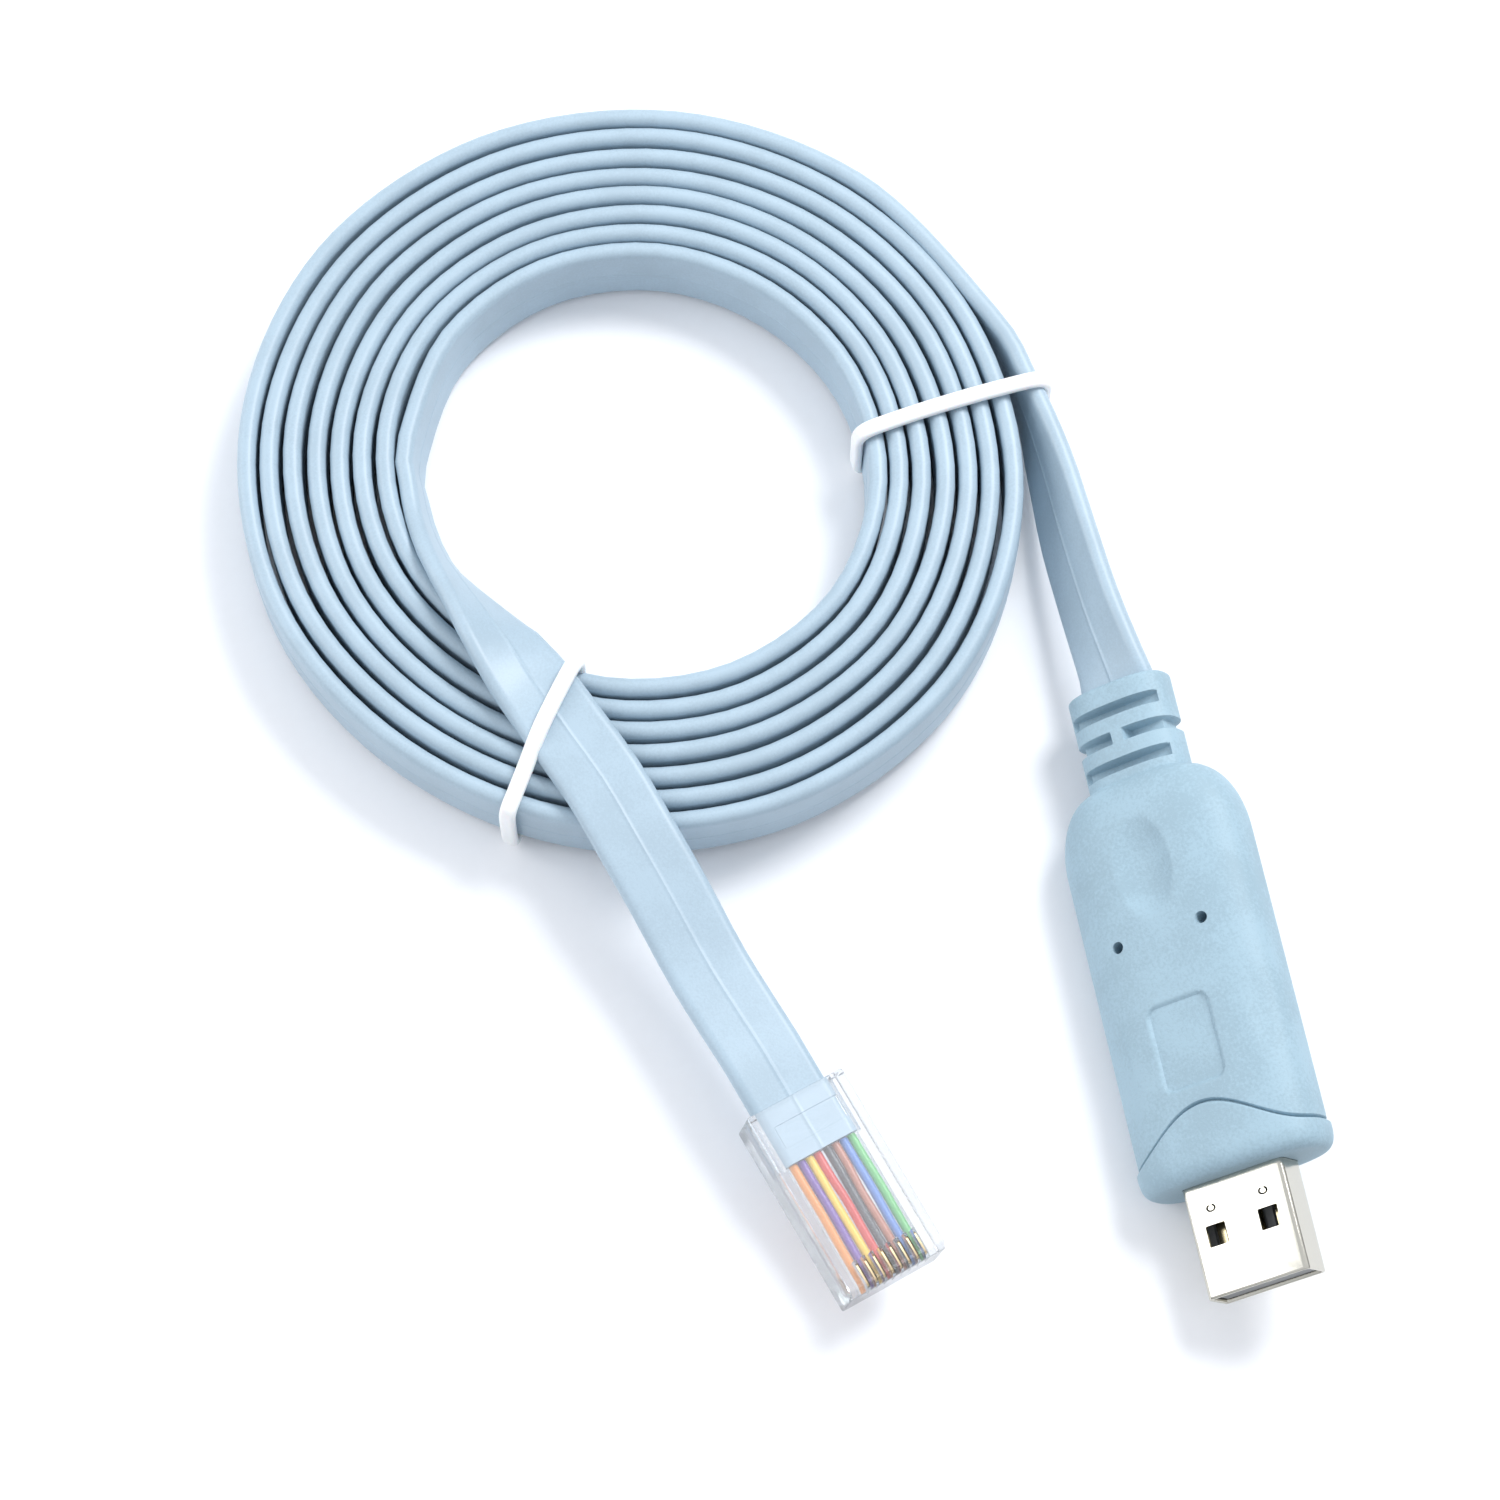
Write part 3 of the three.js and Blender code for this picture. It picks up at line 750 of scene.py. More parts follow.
def clear_plastic():
    # Polycarbonate: clear and faintly hazy, with bright and grey lines where its edges bend
    # the light
    made, tree, shader, place = new_material("clear polycarbonate")
    haze = noise(tree, place, 1.5, 2.0)
    gloss_and_bump(tree, shader, haze.outputs["Fac"], HAZE_LOW, HAZE_HIGH, 0, 0)
    # Painted shade: faces seen edge on get a greyer colour, standing in for the grey edges that
    # light gives thick clear plastic
    slope = add_node(tree, "ShaderNodeLayerWeight", {"Blend": 0.4})
    painted_edge_shade = add_node(
        tree,
        "ShaderNodeMix",
        {
            0: slope.outputs["Facing"],
            6: (*linear("#fbfcfd"), 1),
            7: (*linear("#9aa3ab"), 1),
        },
        data_type="RGBA",
    )
    tree.links.new(painted_edge_shade.outputs[2], shader.inputs["Base Color"])
    shader.inputs["Transmission Weight"].default_value = 0.93
    shader.inputs["IOR"].default_value = 1.58
    # Light on its way to the wires and the jacket goes straight through
    path = add_node(tree, "ShaderNodeLightPath")
    passing = add_node(
        tree,
        "ShaderNodeMath",
        {0: path.outputs["Is Shadow Ray"], 1: path.outputs["Is Diffuse Ray"]},
        operation="MAXIMUM",
    )
    straight = add_node(
        tree, "ShaderNodeBsdfTransparent", {"Color": (0.97, 0.98, 0.99, 1)}
    )
    both = add_node(
        tree,
        "ShaderNodeMixShader",
        {0: passing.outputs[0], 1: shader.outputs[0], 2: straight.outputs[0]},
    )
    tree.links.new(both.outputs[0], tree.nodes["Material Output"].inputs["Surface"])
    return made


def wire_plastic(name, value):
    # Extruded PVC insulation: saturated, with a clean gloss
    return moulded(name, linear(value), 0.35, 0.2, 0.01, mottle=0.04)


# Ribbon and ties

CONTACT_NODES = [f"rj45_contact_{i}" for i in range(1, 9)]
WIRES = [
    ("orange", "#e08f45"),
    ("violet", "#6f479c"),
    ("yellow", "#efc43c"),
    ("red", "#cf3b38"),
    ("grey", "#4b4b50"),
    ("brown", "#b0705c"),
    ("blue", "#587fc4"),
    ("green", "#62b46c"),
]


class CABLE_OT_ribbon(bpy.types.Operator):
    """Makes the flat ribbon: out of the adapter, round the coil and over it to the clear plug"""

    bl_idname = "cable.ribbon"
    bl_label = "Ribbon"

    def execute(self, context):
        size = context.scene.cable_ribbon
        width, thickness = size.width / MM, size.thickness / MM
        ridge = size.ridge / MM
        line = through(ribbon_controls(width, thickness), size.step / MM)
        # Points near the edges keep the flat sides flat, and those in the middle carry the line
        flat = width / 2 - size.edge / MM - 0.15
        middle = [(flat, 0), (0.4, 0), (0.15, 0), (0.05, ridge)]
        middle += [(-x, rise) for x, rise in middle[::-1]]
        outline = rounded_outline(width, thickness, size.edge / MM, 7, middle)
        jacket = ribbon_jacket(size.colour)
        ribbon = swept("ribbon", with_across(line), outline, jacket)
        finished(
            ribbon,
            jacket,
            60,
            ["ribbon_coil", "ribbon_adapter_tail", "ribbon_plug_tail"],
        )
        context.scene["ribbon_line"] = [value * MM for p in line for value in p[:3]]
        return {"FINISHED"}


def rounded_loop(corners, radius, step):
    """A closed flat line through rounded corners, with points about a step apart."""
    count = len(corners)
    line = []

    def straight(to):
        start = line[-1]
        pieces = max(1, round((to - start).length / step))
        line.extend(start.lerp(to, k / pieces) for k in range(1, pieces))

    for i, corner in enumerate(corners):
        here = Vector(corner)
        before = Vector(corners[i - 1]) - here
        after = Vector(corners[(i + 1) % count]) - here
        start = here + before.normalized() * min(radius, before.length * 0.45)
        end = here + after.normalized() * min(radius, after.length * 0.45)
        if line:
            straight(start)
        for k in range(7):
            line.append(start.lerp(here, k / 6).lerp(here.lerp(end, k / 6), k / 6))
    straight(line[0])
    return line


TIE_CORNER, TIE_STEP = 2.2, 0.6


def tie_stations(inner, outer, corners, bow):
    """A tie in the upright plane from inner to outer, bowed to one side as seen from above.
    A corner is its share of the way out and its height."""
    span = (outer - inner).length
    sideways = (outer - inner).cross(UP).normalized()
    bends = [(share * span, height) for share, height in corners]
    flat = rounded_loop(bends, TIE_CORNER, TIE_STEP)
    places = []
    for along, height in flat:
        share = along / span
        place = inner.lerp(outer, share) + sideways * (bow * 4 * share * (1 - share))
        places.append(Vector((place.x, place.y, height)))
    stations = []
    for i, place in enumerate(places):
        along = (places[(i + 1) % len(places)] - places[i - 1]).normalized()
        across = sideways - along * sideways.dot(along)
        stations.append((place, across.normalized()))
    return stations


class CABLE_OT_ties(bpy.types.Operator):
    """Makes the two white ties round the coil"""

    bl_idname = "cable.ties"
    bl_label = "Ties"

    def execute(self, context):
        size = context.scene.cable_ties
        width, thickness = size.width / MM, size.thickness / MM
        coating = tie_plastic(size.colour)
        outline = rounded_outline(width, thickness, thickness * 0.46, 5)
        top = context.scene.cable_ribbon.width / MM + 0.06
        low = thickness / 2 + 0.03
        over = coil_base(*ADAPTER_TIE_SPOT) + top + thickness / 2
        tail = context.scene.cable_ribbon.thickness / MM + TIE_ROOM
        loops = [
            (
                "tie_by_adapter",
                from_coil(24.9, -6.3),
                from_coil(46.8, -0.4),
                [(0, low), (0, over), (1, over), (1, low)],
                -0.4,
                "tie_adapter_side",
            ),
            (
                "tie_by_plug",
                from_coil(25.6, 245.2),
                from_coil(44.15, 240.9),
                [
                    (0, low),
                    (0, over + tail),
                    (0.5, over + tail),
                    (0.68, over + 0.5),
                    (0.85, over),
                    (1, over),
                    (1, low),
                ],
                0.3,
                "tie_plug_side",
            ),
        ]
        for name, inner, outer, corners, bow, node in loops:
            ends = [Vector((*place, 0)) for place in (inner, outer)]
            stations = tie_stations(*ends, corners, bow)
            tie = swept(name, stations, outline, coating, cyclic=True)
            finished(tie, coating, 60, [node])
        return {"FINISHED"}


# Adapter

# The housing's sizes are millimetres from its front face, with its long axis along Y
HOUSING_LENGTH = 55.6
HOUSING_WIDTH, HOUSING_THICKNESS = 21.2, 10.8
NECK_WIDTH, NECK_THICKNESS = 11.7, 6.9
NECK_LENGTH, SHOULDER_LENGTH = 11.2, 8.2
BODY_SQUARENESS, NECK_SQUARENESS = 2.7, 2.7
FRONT_ROUND, FRONT_SHRINK = 1.2, 1.1
BODY_BACK = HOUSING_LENGTH - NECK_LENGTH
SLOT_ROWS = [52.5, 49.4, 46.3]
SLOT_HALF = 0.6
SHELL_WIDTH, SHELL_HEIGHT, SHELL_CORNER = 12.0, 4.5, 0.6
SHELL_REACH, SHELL_WALL = 12.05, 0.31
ADAPTER_PLACE = Matrix.Translation((0, HOUSING_FRONT, AXIS_HEIGHT)) @ Matrix.Rotation(
    -math.radians(HOUSING_ROLL), 4, "Y"
)


def housing_columns():
    """The housing section's points as pairs to be raised to its squareness, quarter by quarter."""
    half_width, half_thickness = HOUSING_WIDTH / 2, HOUSING_THICKNESS / 2
    quarter = []
    x = 0.0
    while x < 9.7:  # close columns on the flat, where the field and the dimple are
        cosine = (x / half_width) ** (BODY_SQUARENESS / 2)
        quarter.append((cosine, math.sqrt(1 - cosine**2)))
        x += 0.2 if x < 4.3 else 0.34
    last = half_thickness * quarter[-1][1] ** (2 / BODY_SQUARENESS)
    rows = 11
    for row in range(1, rows + 1):
        z = last * (1 - row / rows)
        sine = (z / half_thickness) ** (BODY_SQUARENESS / 2)
        quarter.append((math.sqrt(1 - sine**2), sine))
    right_up = quarter[::-1]
    columns = right_up[:]
    columns += [(-c, s) for c, s in quarter[1:]]
    columns += [(-c, -s) for c, s in right_up[1:]]
    columns += [(c, -s) for c, s in quarter[1:-1]]
    return columns


def housing_section(y):
    """The housing's half width, half thickness, squareness and shrink this far from its front."""
    if y >= BODY_BACK:
        body = 0.0
    elif y > BODY_BACK - SHOULDER_LENGTH:
        cosine = 1 - (BODY_BACK - y) / SHOULDER_LENGTH
        body = math.sqrt(max(0.0, 1 - cosine**2))
    else:
        body = 1.0

    def mix(neck, wide):
        return neck + (wide - neck) * body

    shrink = 0.0
    if y < FRONT_ROUND:
        sine = 1 - max(y, 0) / FRONT_ROUND
        shrink = FRONT_SHRINK * (1 - math.sqrt(max(0.0, 1 - sine**2)))
    back = max(0.0, y - (HOUSING_LENGTH - 0.5))
    shrink += 0.5 - math.sqrt(max(0.0, 0.25 - back**2)) if back else 0.0
    return (
        mix(NECK_WIDTH, HOUSING_WIDTH) / 2 - shrink,
        mix(NECK_THICKNESS, HOUSING_THICKNESS) / 2 - shrink,
        mix(NECK_SQUARENESS, BODY_SQUARENESS),
    )


WAVE_LOW, WAVE_RISE, WAVE_HALF = 3.1, 4.4, 10.4
WAVE_END = 8.9


def wave_at(x):
    """Where the wave groove runs, from the front face."""
    share = min(abs(x) / WAVE_HALF, 1)
    return WAVE_LOW + WAVE_RISE * math.cos(share * math.pi / 2) ** 1.7


def housing_rings():
    """One function for each ring of points: from x to its distance from the front face."""
    rings = []
    for share in (0, 0.012, 0.04, 0.08, 0.13, 0.19, 0.26, 0.34, 0.44, 0.55, 0.66, 0.77):
        rings.append(lambda x, s=share: s * (wave_at(x) - 0.5))
    for step in (-0.5, -0.36, -0.27, -0.21, -0.15, -0.1, -0.05, 0, 0.05, 0.1, 0.15, 0.21):
        rings.append(lambda x, s=step: wave_at(x) + s)
    for share in (0, 0.15, 0.32, 0.5, 0.68, 0.84, 1):
        rings.append(
            lambda x, s=share: (wave_at(x) + 0.3) * (1 - s) + WAVE_END * s
        )
    straight = []

    def run(start, end, step):
        count = round((end - start) / step)
        straight.extend(start + (end - start) * k / count for k in range(count))

    run(9.1, 19.5, 0.2)
    run(19.5, 27.4, 0.6)
    run(27.4, 40.4, 0.36)
    run(40.4, 45.3, 0.35)
    for centre in SLOT_ROWS[::-1]:
        away = (0.3, 0.46, 0.54, 0.6, 0.66, 0.74, 0.84)
        straight += [centre - part for part in away[::-1]] + [centre]
        straight += [centre + part for part in away]
        if centre != SLOT_ROWS[0]:
            straight += [centre + part for part in (1.2, 1.55, 1.9)]
    straight += [53.9, 54.5, 55.1, 55.25, 55.4, 55.5, 55.57, HOUSING_LENGTH]
    for y in straight:
        rings.append(lambda x, s=y: s)
    return rings


CORE_HALF_WIDTH, CORE_HALF_THICKNESS = 4.7, 1.6


def relief_slots(x, y, z):
    """Sinks the strain relief's slots into the neck, down to a core round the ribbon."""
    for row, centre in enumerate(SLOT_ROWS):
        # The outer two rows are one slot across, and the middle one is two round the sides
        depth = 1 - smooth(SLOT_HALF - 0.1, SLOT_HALF + 0.12, abs(y - centre))
        if depth <= 0:
            continue
        if row == 1:
            wide = smooth(0.7, 0.95, abs(x))
            if abs(x) > CORE_HALF_WIDTH:
                side = CORE_HALF_WIDTH + (abs(x) - CORE_HALF_WIDTH) * 0.15
                x = math.copysign(abs(x) + (side - abs(x)) * depth, x)
        else:
            wide = 1 - smooth(4.95, 5.2, abs(x))
        sunk = CORE_HALF_THICKNESS + (abs(z) - CORE_HALF_THICKNESS) * (1 - depth * wide)
        if abs(z) > CORE_HALF_THICKNESS:
            z = math.copysign(sunk, z)
    return x, z


FIELD_Y, FIELD_LENGTH, FIELD_WIDTH, FIELD_CORNER, FIELD_DEPTH = 14.2, 9.4, 7.2, 1.1, 0.3
DIMPLE_Y, DIMPLE_LENGTH, DIMPLE_WIDTH = 34.0, 11.6, 7.0
GRIP_X, GRIP_Y, GRIP_WIDTH, GRIP_LENGTH, GRIP_DEPTH = 8.7, 15, 3.8, 13, 0.28
PIN_HOLE_X, PIN_HOLE_Y = 5.1, 26.5
PIN_HOLE_STEPS = ((1, 2.8), (1, 4.85), (1, 5.1), (1.25, 5.6), (1.25, 6.5))


def field_depth(x, y):
    """Depth of the bare sunk field."""
    away_x = abs(x) - FIELD_WIDTH / 2 + FIELD_CORNER
    away_y = abs(y - FIELD_Y) - FIELD_LENGTH / 2 + FIELD_CORNER
    outside = math.hypot(max(away_x, 0), max(away_y, 0)) + min(max(away_x, away_y), 0)
    return FIELD_DEPTH * (1 - smooth(-0.11, 0.1, outside - FIELD_CORNER))


def dimple_depth(x, y, depth):
    ratio = math.hypot(x / (DIMPLE_WIDTH / 2), (y - DIMPLE_Y) / (DIMPLE_LENGTH / 2))
    return depth * max(0.0, 1 - ratio**2) ** 1.1


def grip_depth(x, y):
    """A shallow hollow for the fingers near each long edge."""
    across, along = (abs(x) - GRIP_X) / (GRIP_WIDTH / 2), (y - GRIP_Y) / (GRIP_LENGTH / 2)
    ratio = math.hypot(across, along)
    return GRIP_DEPTH * max(0.0, 1 - ratio**2) ** 2


def housing_ring(ring, columns, size):
    """One ring of the housing's skin, with lip, groove, field, hollows and slots worked in."""
    points = []
    for cosine, sine in columns:
        wide = signed_power(cosine, 2 / BODY_SQUARENESS) * HOUSING_WIDTH / 2
        y = ring(wide)
        half_width, half_thickness, squareness = housing_section(y)
        x = signed_power(cosine, 2 / squareness) * half_width
        z = signed_power(sine, 2 / squareness) * half_thickness
        if y < WAVE_END:
            away = y - wave_at(wide)
            out = size.lip / MM * (1 - smooth(-0.2, 0.1, away))
            out -= size.groove / MM * math.exp(-((away / 0.16) ** 2))
            out *= smooth(0, 2.2, y) if away < 0 else 1
            normal = Vector((x / half_width**2, z / half_thickness**2)).normalized()
            x += normal.x * out
            z += normal.y * out
        if z > 0 and y < BODY_BACK:
            z -= field_depth(x, y) + grip_depth(x, y)
            z -= dimple_depth(x, y, size.dimple / MM)
        if y > BODY_BACK - 1:
            x, z = relief_slots(x, y, z)
        points.append((x, y, z))
    return points


def onto_outline(columns, width, thickness, squareness, y):
    """The housing's columns on a smaller opening, so that a wall can lead into it."""
    return [
        (
            signed_power(c, 2 / squareness) * width / 2,
            y,
            signed_power(s, 2 / squareness) * thickness / 2,
        )
        for c, s in columns
    ]


class CABLE_OT_housing(bpy.types.Operator):
    """Makes the moulded adapter housing with its strain relief, dimple, field and wave groove"""

    bl_idname = "cable.housing"
    bl_label = "Adapter housing"

    def execute(self, context):
        size = context.scene.cable_adapter
        columns = housing_columns()
        rings = [housing_ring(ring, columns, size) for ring in housing_rings()]
        seat, mouth = (SHELL_WIDTH + 0.12, SHELL_HEIGHT + 0.12), (9.16, 2.24)
        front = [
            onto_outline(columns, *seat, 14, 0.7),
            onto_outline(columns, *seat, 14, 0.0),
            onto_outline(columns, seat[0] + 1.6, seat[1] + 0.9, 6, -0.04),
        ]
        back = [
            onto_outline(columns, *mouth, 7, HOUSING_LENGTH),
            onto_outline(columns, *mouth, 7, HOUSING_LENGTH - 0.9),
        ]
        points, faces = rings_to_mesh(front + rings + back)
        housing = mesh_object("housing", points, faces)
        outward(housing.data)
        around = round_outline(size.hole / MM / 2, 28)
        points, faces = [], []
        for middle in (-PIN_HOLE_X, PIN_HOLE_X):
            hole_rings = [
                [(middle + x * grow, PIN_HOLE_Y + y * grow, z) for x, y in around]
                for grow, z in PIN_HOLE_STEPS
            ]
            hole_points, hole_faces = rings_to_mesh(hole_rings)
            faces += [tuple(i + len(points) for i in face) for face in hole_faces]
            points += hole_points
        combined(housing, mesh_object("holes", points, faces), "DIFFERENCE")
        placed(housing, ADAPTER_PLACE)
        finished(
            housing, housing_plastic(size.colour), 38, ["adapter_housing"]
        )
        return {"FINISHED"}


WINDOW_X, WINDOW_REACH, WINDOW_SIZE, WINDOW_CORNER = 3.1, 5.65, 2.3, 0.14
MARK_REACH, MARK_OUTER, MARK_INNER, MARK_FLATTENED = 2.75, 0.58, 0.34, 0.75
SEAM_WIDTH = 0.07


def mark_cutter(x):
    """A small C-shaped cut, open towards the housing."""
    steps = 14
    arc = [math.radians(110 + 320 * k / steps) for k in range(steps + 1)]
    outline = [
        (radius * math.cos(a), MARK_FLATTENED * radius * math.sin(a))
        for radius, turns in ((MARK_OUTER, arc), (MARK_INNER, arc[::-1]))
        for a in turns
    ]
    low, high = SHELL_HEIGHT / 2 - 0.7, SHELL_HEIGHT / 2 + 0.5
    rings = [[(x + a, b - MARK_REACH, z) for a, b in outline] for z in (low, high)]
    return mesh_object("mark", *rings_to_mesh(rings))


class CABLE_OT_shell(bpy.types.Operator):
    """Makes the flat plug's plated shell with its windows, marks and rolled mouth"""

    bl_idname = "cable.shell"
    bl_label = "Plug shell"

    def execute(self, context):
        size = context.scene.cable_adapter

        def ring(y, inset):
            outline = rounded_outline(
                SHELL_WIDTH - 2 * inset,
                SHELL_HEIGHT - 2 * inset,
                max(SHELL_CORNER - inset, 0.12),
                6,
            )
            return [(x, y, z) for x, z in outline]

        front = -SHELL_REACH
        rings = [ring(3.9, 0.0), ring(-4, 0), ring(front + 0.32, 0.0)]
        for turn in (25, 50, 75, 100, 130, 160):
            a = math.radians(turn)
            rings.append(
                ring(front + 0.17 * (1 - math.sin(a)), 0.155 * (1 - math.cos(a)))
            )
        rings += [ring(front + 0.5, SHELL_WALL), ring(3.4, SHELL_WALL)]
        shell = mesh_object("shell", *rings_to_mesh(rings))
        outward(shell.data)
        opening = (WINDOW_SIZE, WINDOW_SIZE, 2 * SHELL_HEIGHT)
        for x in (-WINDOW_X, WINDOW_X):
            window = block(opening, (x, -WINDOW_REACH, 0), WINDOW_CORNER)
            combined(shell, window, "DIFFERENCE")
            combined(shell, mark_cutter(x), "DIFFERENCE")
        seam_size = (SEAM_WIDTH, SHELL_REACH - 0.2, 0.2)
        seam = block(seam_size, (0, -SHELL_REACH / 2, -SHELL_HEIGHT / 2))
        combined(shell, seam, "DIFFERENCE")
        placed(shell, ADAPTER_PLACE)
        # Nickel-plated steel: mirror-bright and a little warm, so it shows the white room
        nickel = plated_metal("nickel-plated steel", size.metal, 0.16, 0.12)
        finished(shell, nickel, 32, ["usb_shell"])
        return {"FINISHED"}


class CABLE_OT_tongue(bpy.types.Operator):
    """Gives the tongue and the contact strips of the flat plug their finishes"""

    bl_idname = "cable.tongue"
    bl_label = "Plug tongue"

    def execute(self, context):
        insulator = tongue_plastic()
        # Gold flash over nickel: yellow, bright, with rubbed drawing marks
        gold = plated_metal("gold-plated contact", linear("#c9bd9a"), 0.2, 0.08)
        for name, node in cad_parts.items():
            if name == "usb_tongue" or name.startswith("usb_contact"):
                node.data.materials.clear()
                node.data.materials.append(
                    insulator if name == "usb_tongue" else gold
                )
        return {"FINISHED"}


# Clear plug

CLEAR_WIDTH, CLEAR_LENGTH, CLEAR_HEIGHT = 11.7, 21.8, 6.6
CLEAR_MATRIX = Matrix.Translation(CLEAR_PLACE) @ CLEAR_TURN.to_matrix().to_4x4()
WIRE_END = 1.2
LATCH_WIDTH, LATCH_NECK, LATCH_THICKNESS = 6.2, 3.4, 1.15
LATCH_TOP, LATCH_DROP = 0.55, 3.4  # below the body, at the lever's root and at its end
LATCH_SHOULDER, LATCH_SETBACK = 13, 6.5
LATCH_ROOT = 0.6 - CLEAR_LENGTH
HEEL_LENGTH, HEEL_HEIGHT = 2.4, 1.0
NOSE = 0.7
JACKET_ROOM, JACKET_ROOM_Y = (9.24, 7.6, 2.34), -2.8
WIRE_ROOM_WIDTH, WIRE_ROOM_HEIGHT, WIRE_ROOM_START = 8.5, 1.2, 6.4
POCKET, POCKET_Y, POCKET_BEVEL = (7.6, 2.6, 0.5), -3.5, 0.1
SLOT_WIDTH, SLOT_LENGTH, SLOT_FLOOR, SLOT_REACH = 0.34, 3.8, 0.15, 1.5


def slab(points, width, name="slab"):
    """A side view drawn in Y and Z, made that wide across X."""
    rings = [[(side * width / 2, y, z) for y, z in points] for side in (-1, 1)]
    made = mesh_object(name, *rings_to_mesh(rings))
    outward(made.data)
    return made


def bevelled(made, width):
    change = made.modifiers.new("edges", "BEVEL")
    change.width = width * MM
    change.segments = 2
    change.limit_method = "ANGLE"
    change.angle_limit = math.radians(30)
    return baked(made)


def latch_lever(end, width):
    """The latch's lever from its root at the tip down and back to end."""
    top = -CLEAR_HEIGHT / 2 - LATCH_TOP
    fall = (LATCH_DROP - LATCH_TOP) / (-LATCH_SETBACK - LATCH_ROOT)
    upper = [(y, top - fall * (y - LATCH_ROOT)) for y in (LATCH_ROOT, end)]
    side = [(y, z - LATCH_THICKNESS) for y, z in upper] + upper[::-1]
    return bevelled(slab(side, width), 0.18)


class CABLE_OT_clear_body(bpy.types.Operator):
    """Makes the clear plug's body with its latch, wire channel and contact slots"""

    bl_idname = "cable.clear_body"
    bl_label = "Clear plug body"

    def execute(self, context):
        size = context.scene.cable_clear
        top, tip = CLEAR_HEIGHT / 2, -CLEAR_LENGTH
        side = [(0, -top), (0, top), (tip + NOSE, top), (tip, top - NOSE), (tip, -top)]
        body = bevelled(slab(side, CLEAR_WIDTH, "clear_body"), size.bevel / MM)
        heel_end = LATCH_ROOT + HEEL_LENGTH
        low, high = -top - HEEL_HEIGHT, -top + 0.2
        heel = [(LATCH_ROOT, low), (heel_end, low), (heel_end, high), (LATCH_ROOT, high)]
        for part in (
            slab(heel, LATCH_WIDTH),
            latch_lever(-LATCH_SHOULDER, LATCH_WIDTH),
            latch_lever(-LATCH_SETBACK, LATCH_NECK),
        ):
            combined(body, part, "UNION")
        channel = CLEAR_LENGTH - WIRE_END + 0.3 - WIRE_ROOM_START
        cuts = [
            block(JACKET_ROOM, (0, JACKET_ROOM_Y, 0)),
            block(
                (WIRE_ROOM_WIDTH, channel, WIRE_ROOM_HEIGHT),
                (0, -WIRE_ROOM_START - channel / 2, 0),
            ),
            bevelled(block(POCKET, (0, POCKET_Y, top)), POCKET_BEVEL),
        ]
        slot = (SLOT_WIDTH, SLOT_LENGTH, top + 0.9 - 2 * SLOT_FLOOR)
        for i in range(8):
            x = (i - 3.5) * size.pitch / MM
            cuts.append(block(slot, (x, tip + SLOT_REACH, (top + 0.9) / 2)))
        for cut in cuts:
            combined(body, cut, "DIFFERENCE")
        placed(body, CLEAR_MATRIX)
        # Nearly flat shading: soft shading across its large faces gives them false highlights
        finished(body, clear_plastic(), 5, ["rj45_body"])
        return {"FINISHED"}


class CABLE_OT_wires(bpy.types.Operator):
    """Makes the eight coloured wires inside the clear plug"""

    bl_idname = "cable.wires"
    bl_label = "Wires"

    def execute(self, context):
        size = context.scene.cable_clear
        pitch = size.pitch / MM
        outline = round_outline(size.wire / MM / 2, size.sides)
        for i, (name, value) in enumerate(WIRES):
            x = (i - 3.5) * pitch
            # Out of the jacket they come in two groups of four
            bunched = (i - 3.5) * (pitch - 0.03) + (-0.1 if i < 4 else 0.1)
            bow = 0.1 * math.sin(2.1 * i + 0.6)
            local = [
                (bunched, -JACKET_DEPTH - 0.05, 0),
                (bunched, -JACKET_DEPTH - 3, 0.04),
                (x + bow, -CLEAR_LENGTH / 2 - 1.5, 0.05),
                (x, -CLEAR_LENGTH + WIRE_END + 4, 0),
                (x, -CLEAR_LENGTH + WIRE_END, 0),
            ]
            line = through([tuple(in_clear_plug(*p)) for p in local], 0.8)
            across = (in_clear_plug(1, 0, 0) - in_clear_plug(0, 0, 0)).normalized()
            stations = [(Vector(p), across) for p in line]
            insulation = wire_plastic(f"{name} PVC insulation", value)
            wire = swept(f"wire_{name}", stations, outline, insulation)
            finished(wire, insulation, 50, [f"wire_{i + 1}"])
        return {"FINISHED"}


BLADE_Y, BLADE_HEIGHT = -20.05, 1.9


class CABLE_OT_contacts(bpy.types.Operator):
    """Makes the eight gold contact blades in the clear plug's tip"""

    bl_idname = "cable.contacts"
    bl_label = "Contact blades"

    def execute(self, context):
        size = context.scene.cable_clear
        gold = plated_metal("gold-plated bronze", linear("#cfbb97"), 0.3, 0.08)
        blades = mesh_object("contact_blades", [(0, 0, 0)], [])
        tree = bpy.data.node_groups.get("Row of plates") or row_tree()
        with_tree(blades, tree, Count=8, Pitch=size.pitch, Material=gold)
        first = (-3.5 * size.pitch / MM - BLADE_THICKNESS / 2, BLADE_Y, BLADE_HEIGHT)
        placed(blades, CLEAR_MATRIX @ Matrix.Translation(first))
        finished(blades, gold, 40, CONTACT_NODES)
        return {"FINISHED"}


class CABLE_OT_cord(bpy.types.Operator):
    """Lists the names of the pieces that sit on the ribbon, and does nothing more with them"""

    bl_idname = "cable.cord"
    bl_label = "Declare the cord"

    def execute(self, context):
        names = ["tie_by_adapter", "tie_by_plug", "clear_body", "contact_blades"]
        names += [f"wire_{name}" for name, _ in WIRES]
        return {"FINISHED"}


# Camera, floor and light


ROOM_LOW, ROOM_HIGH = 0.3, 0.98
# Name, place from the middle of the view in metres, width in metres and watts
LAMPS = [
    ("key", (0.42, 0.30, 0.62), 0.3, 4.8),
    ("left card", (-0.6, 0.22, 0.3), 0.45, 2.0),
]
VIEW_MIDDLE = (-40.14, 37.84, 0)
FLOOR_HALF = 2000


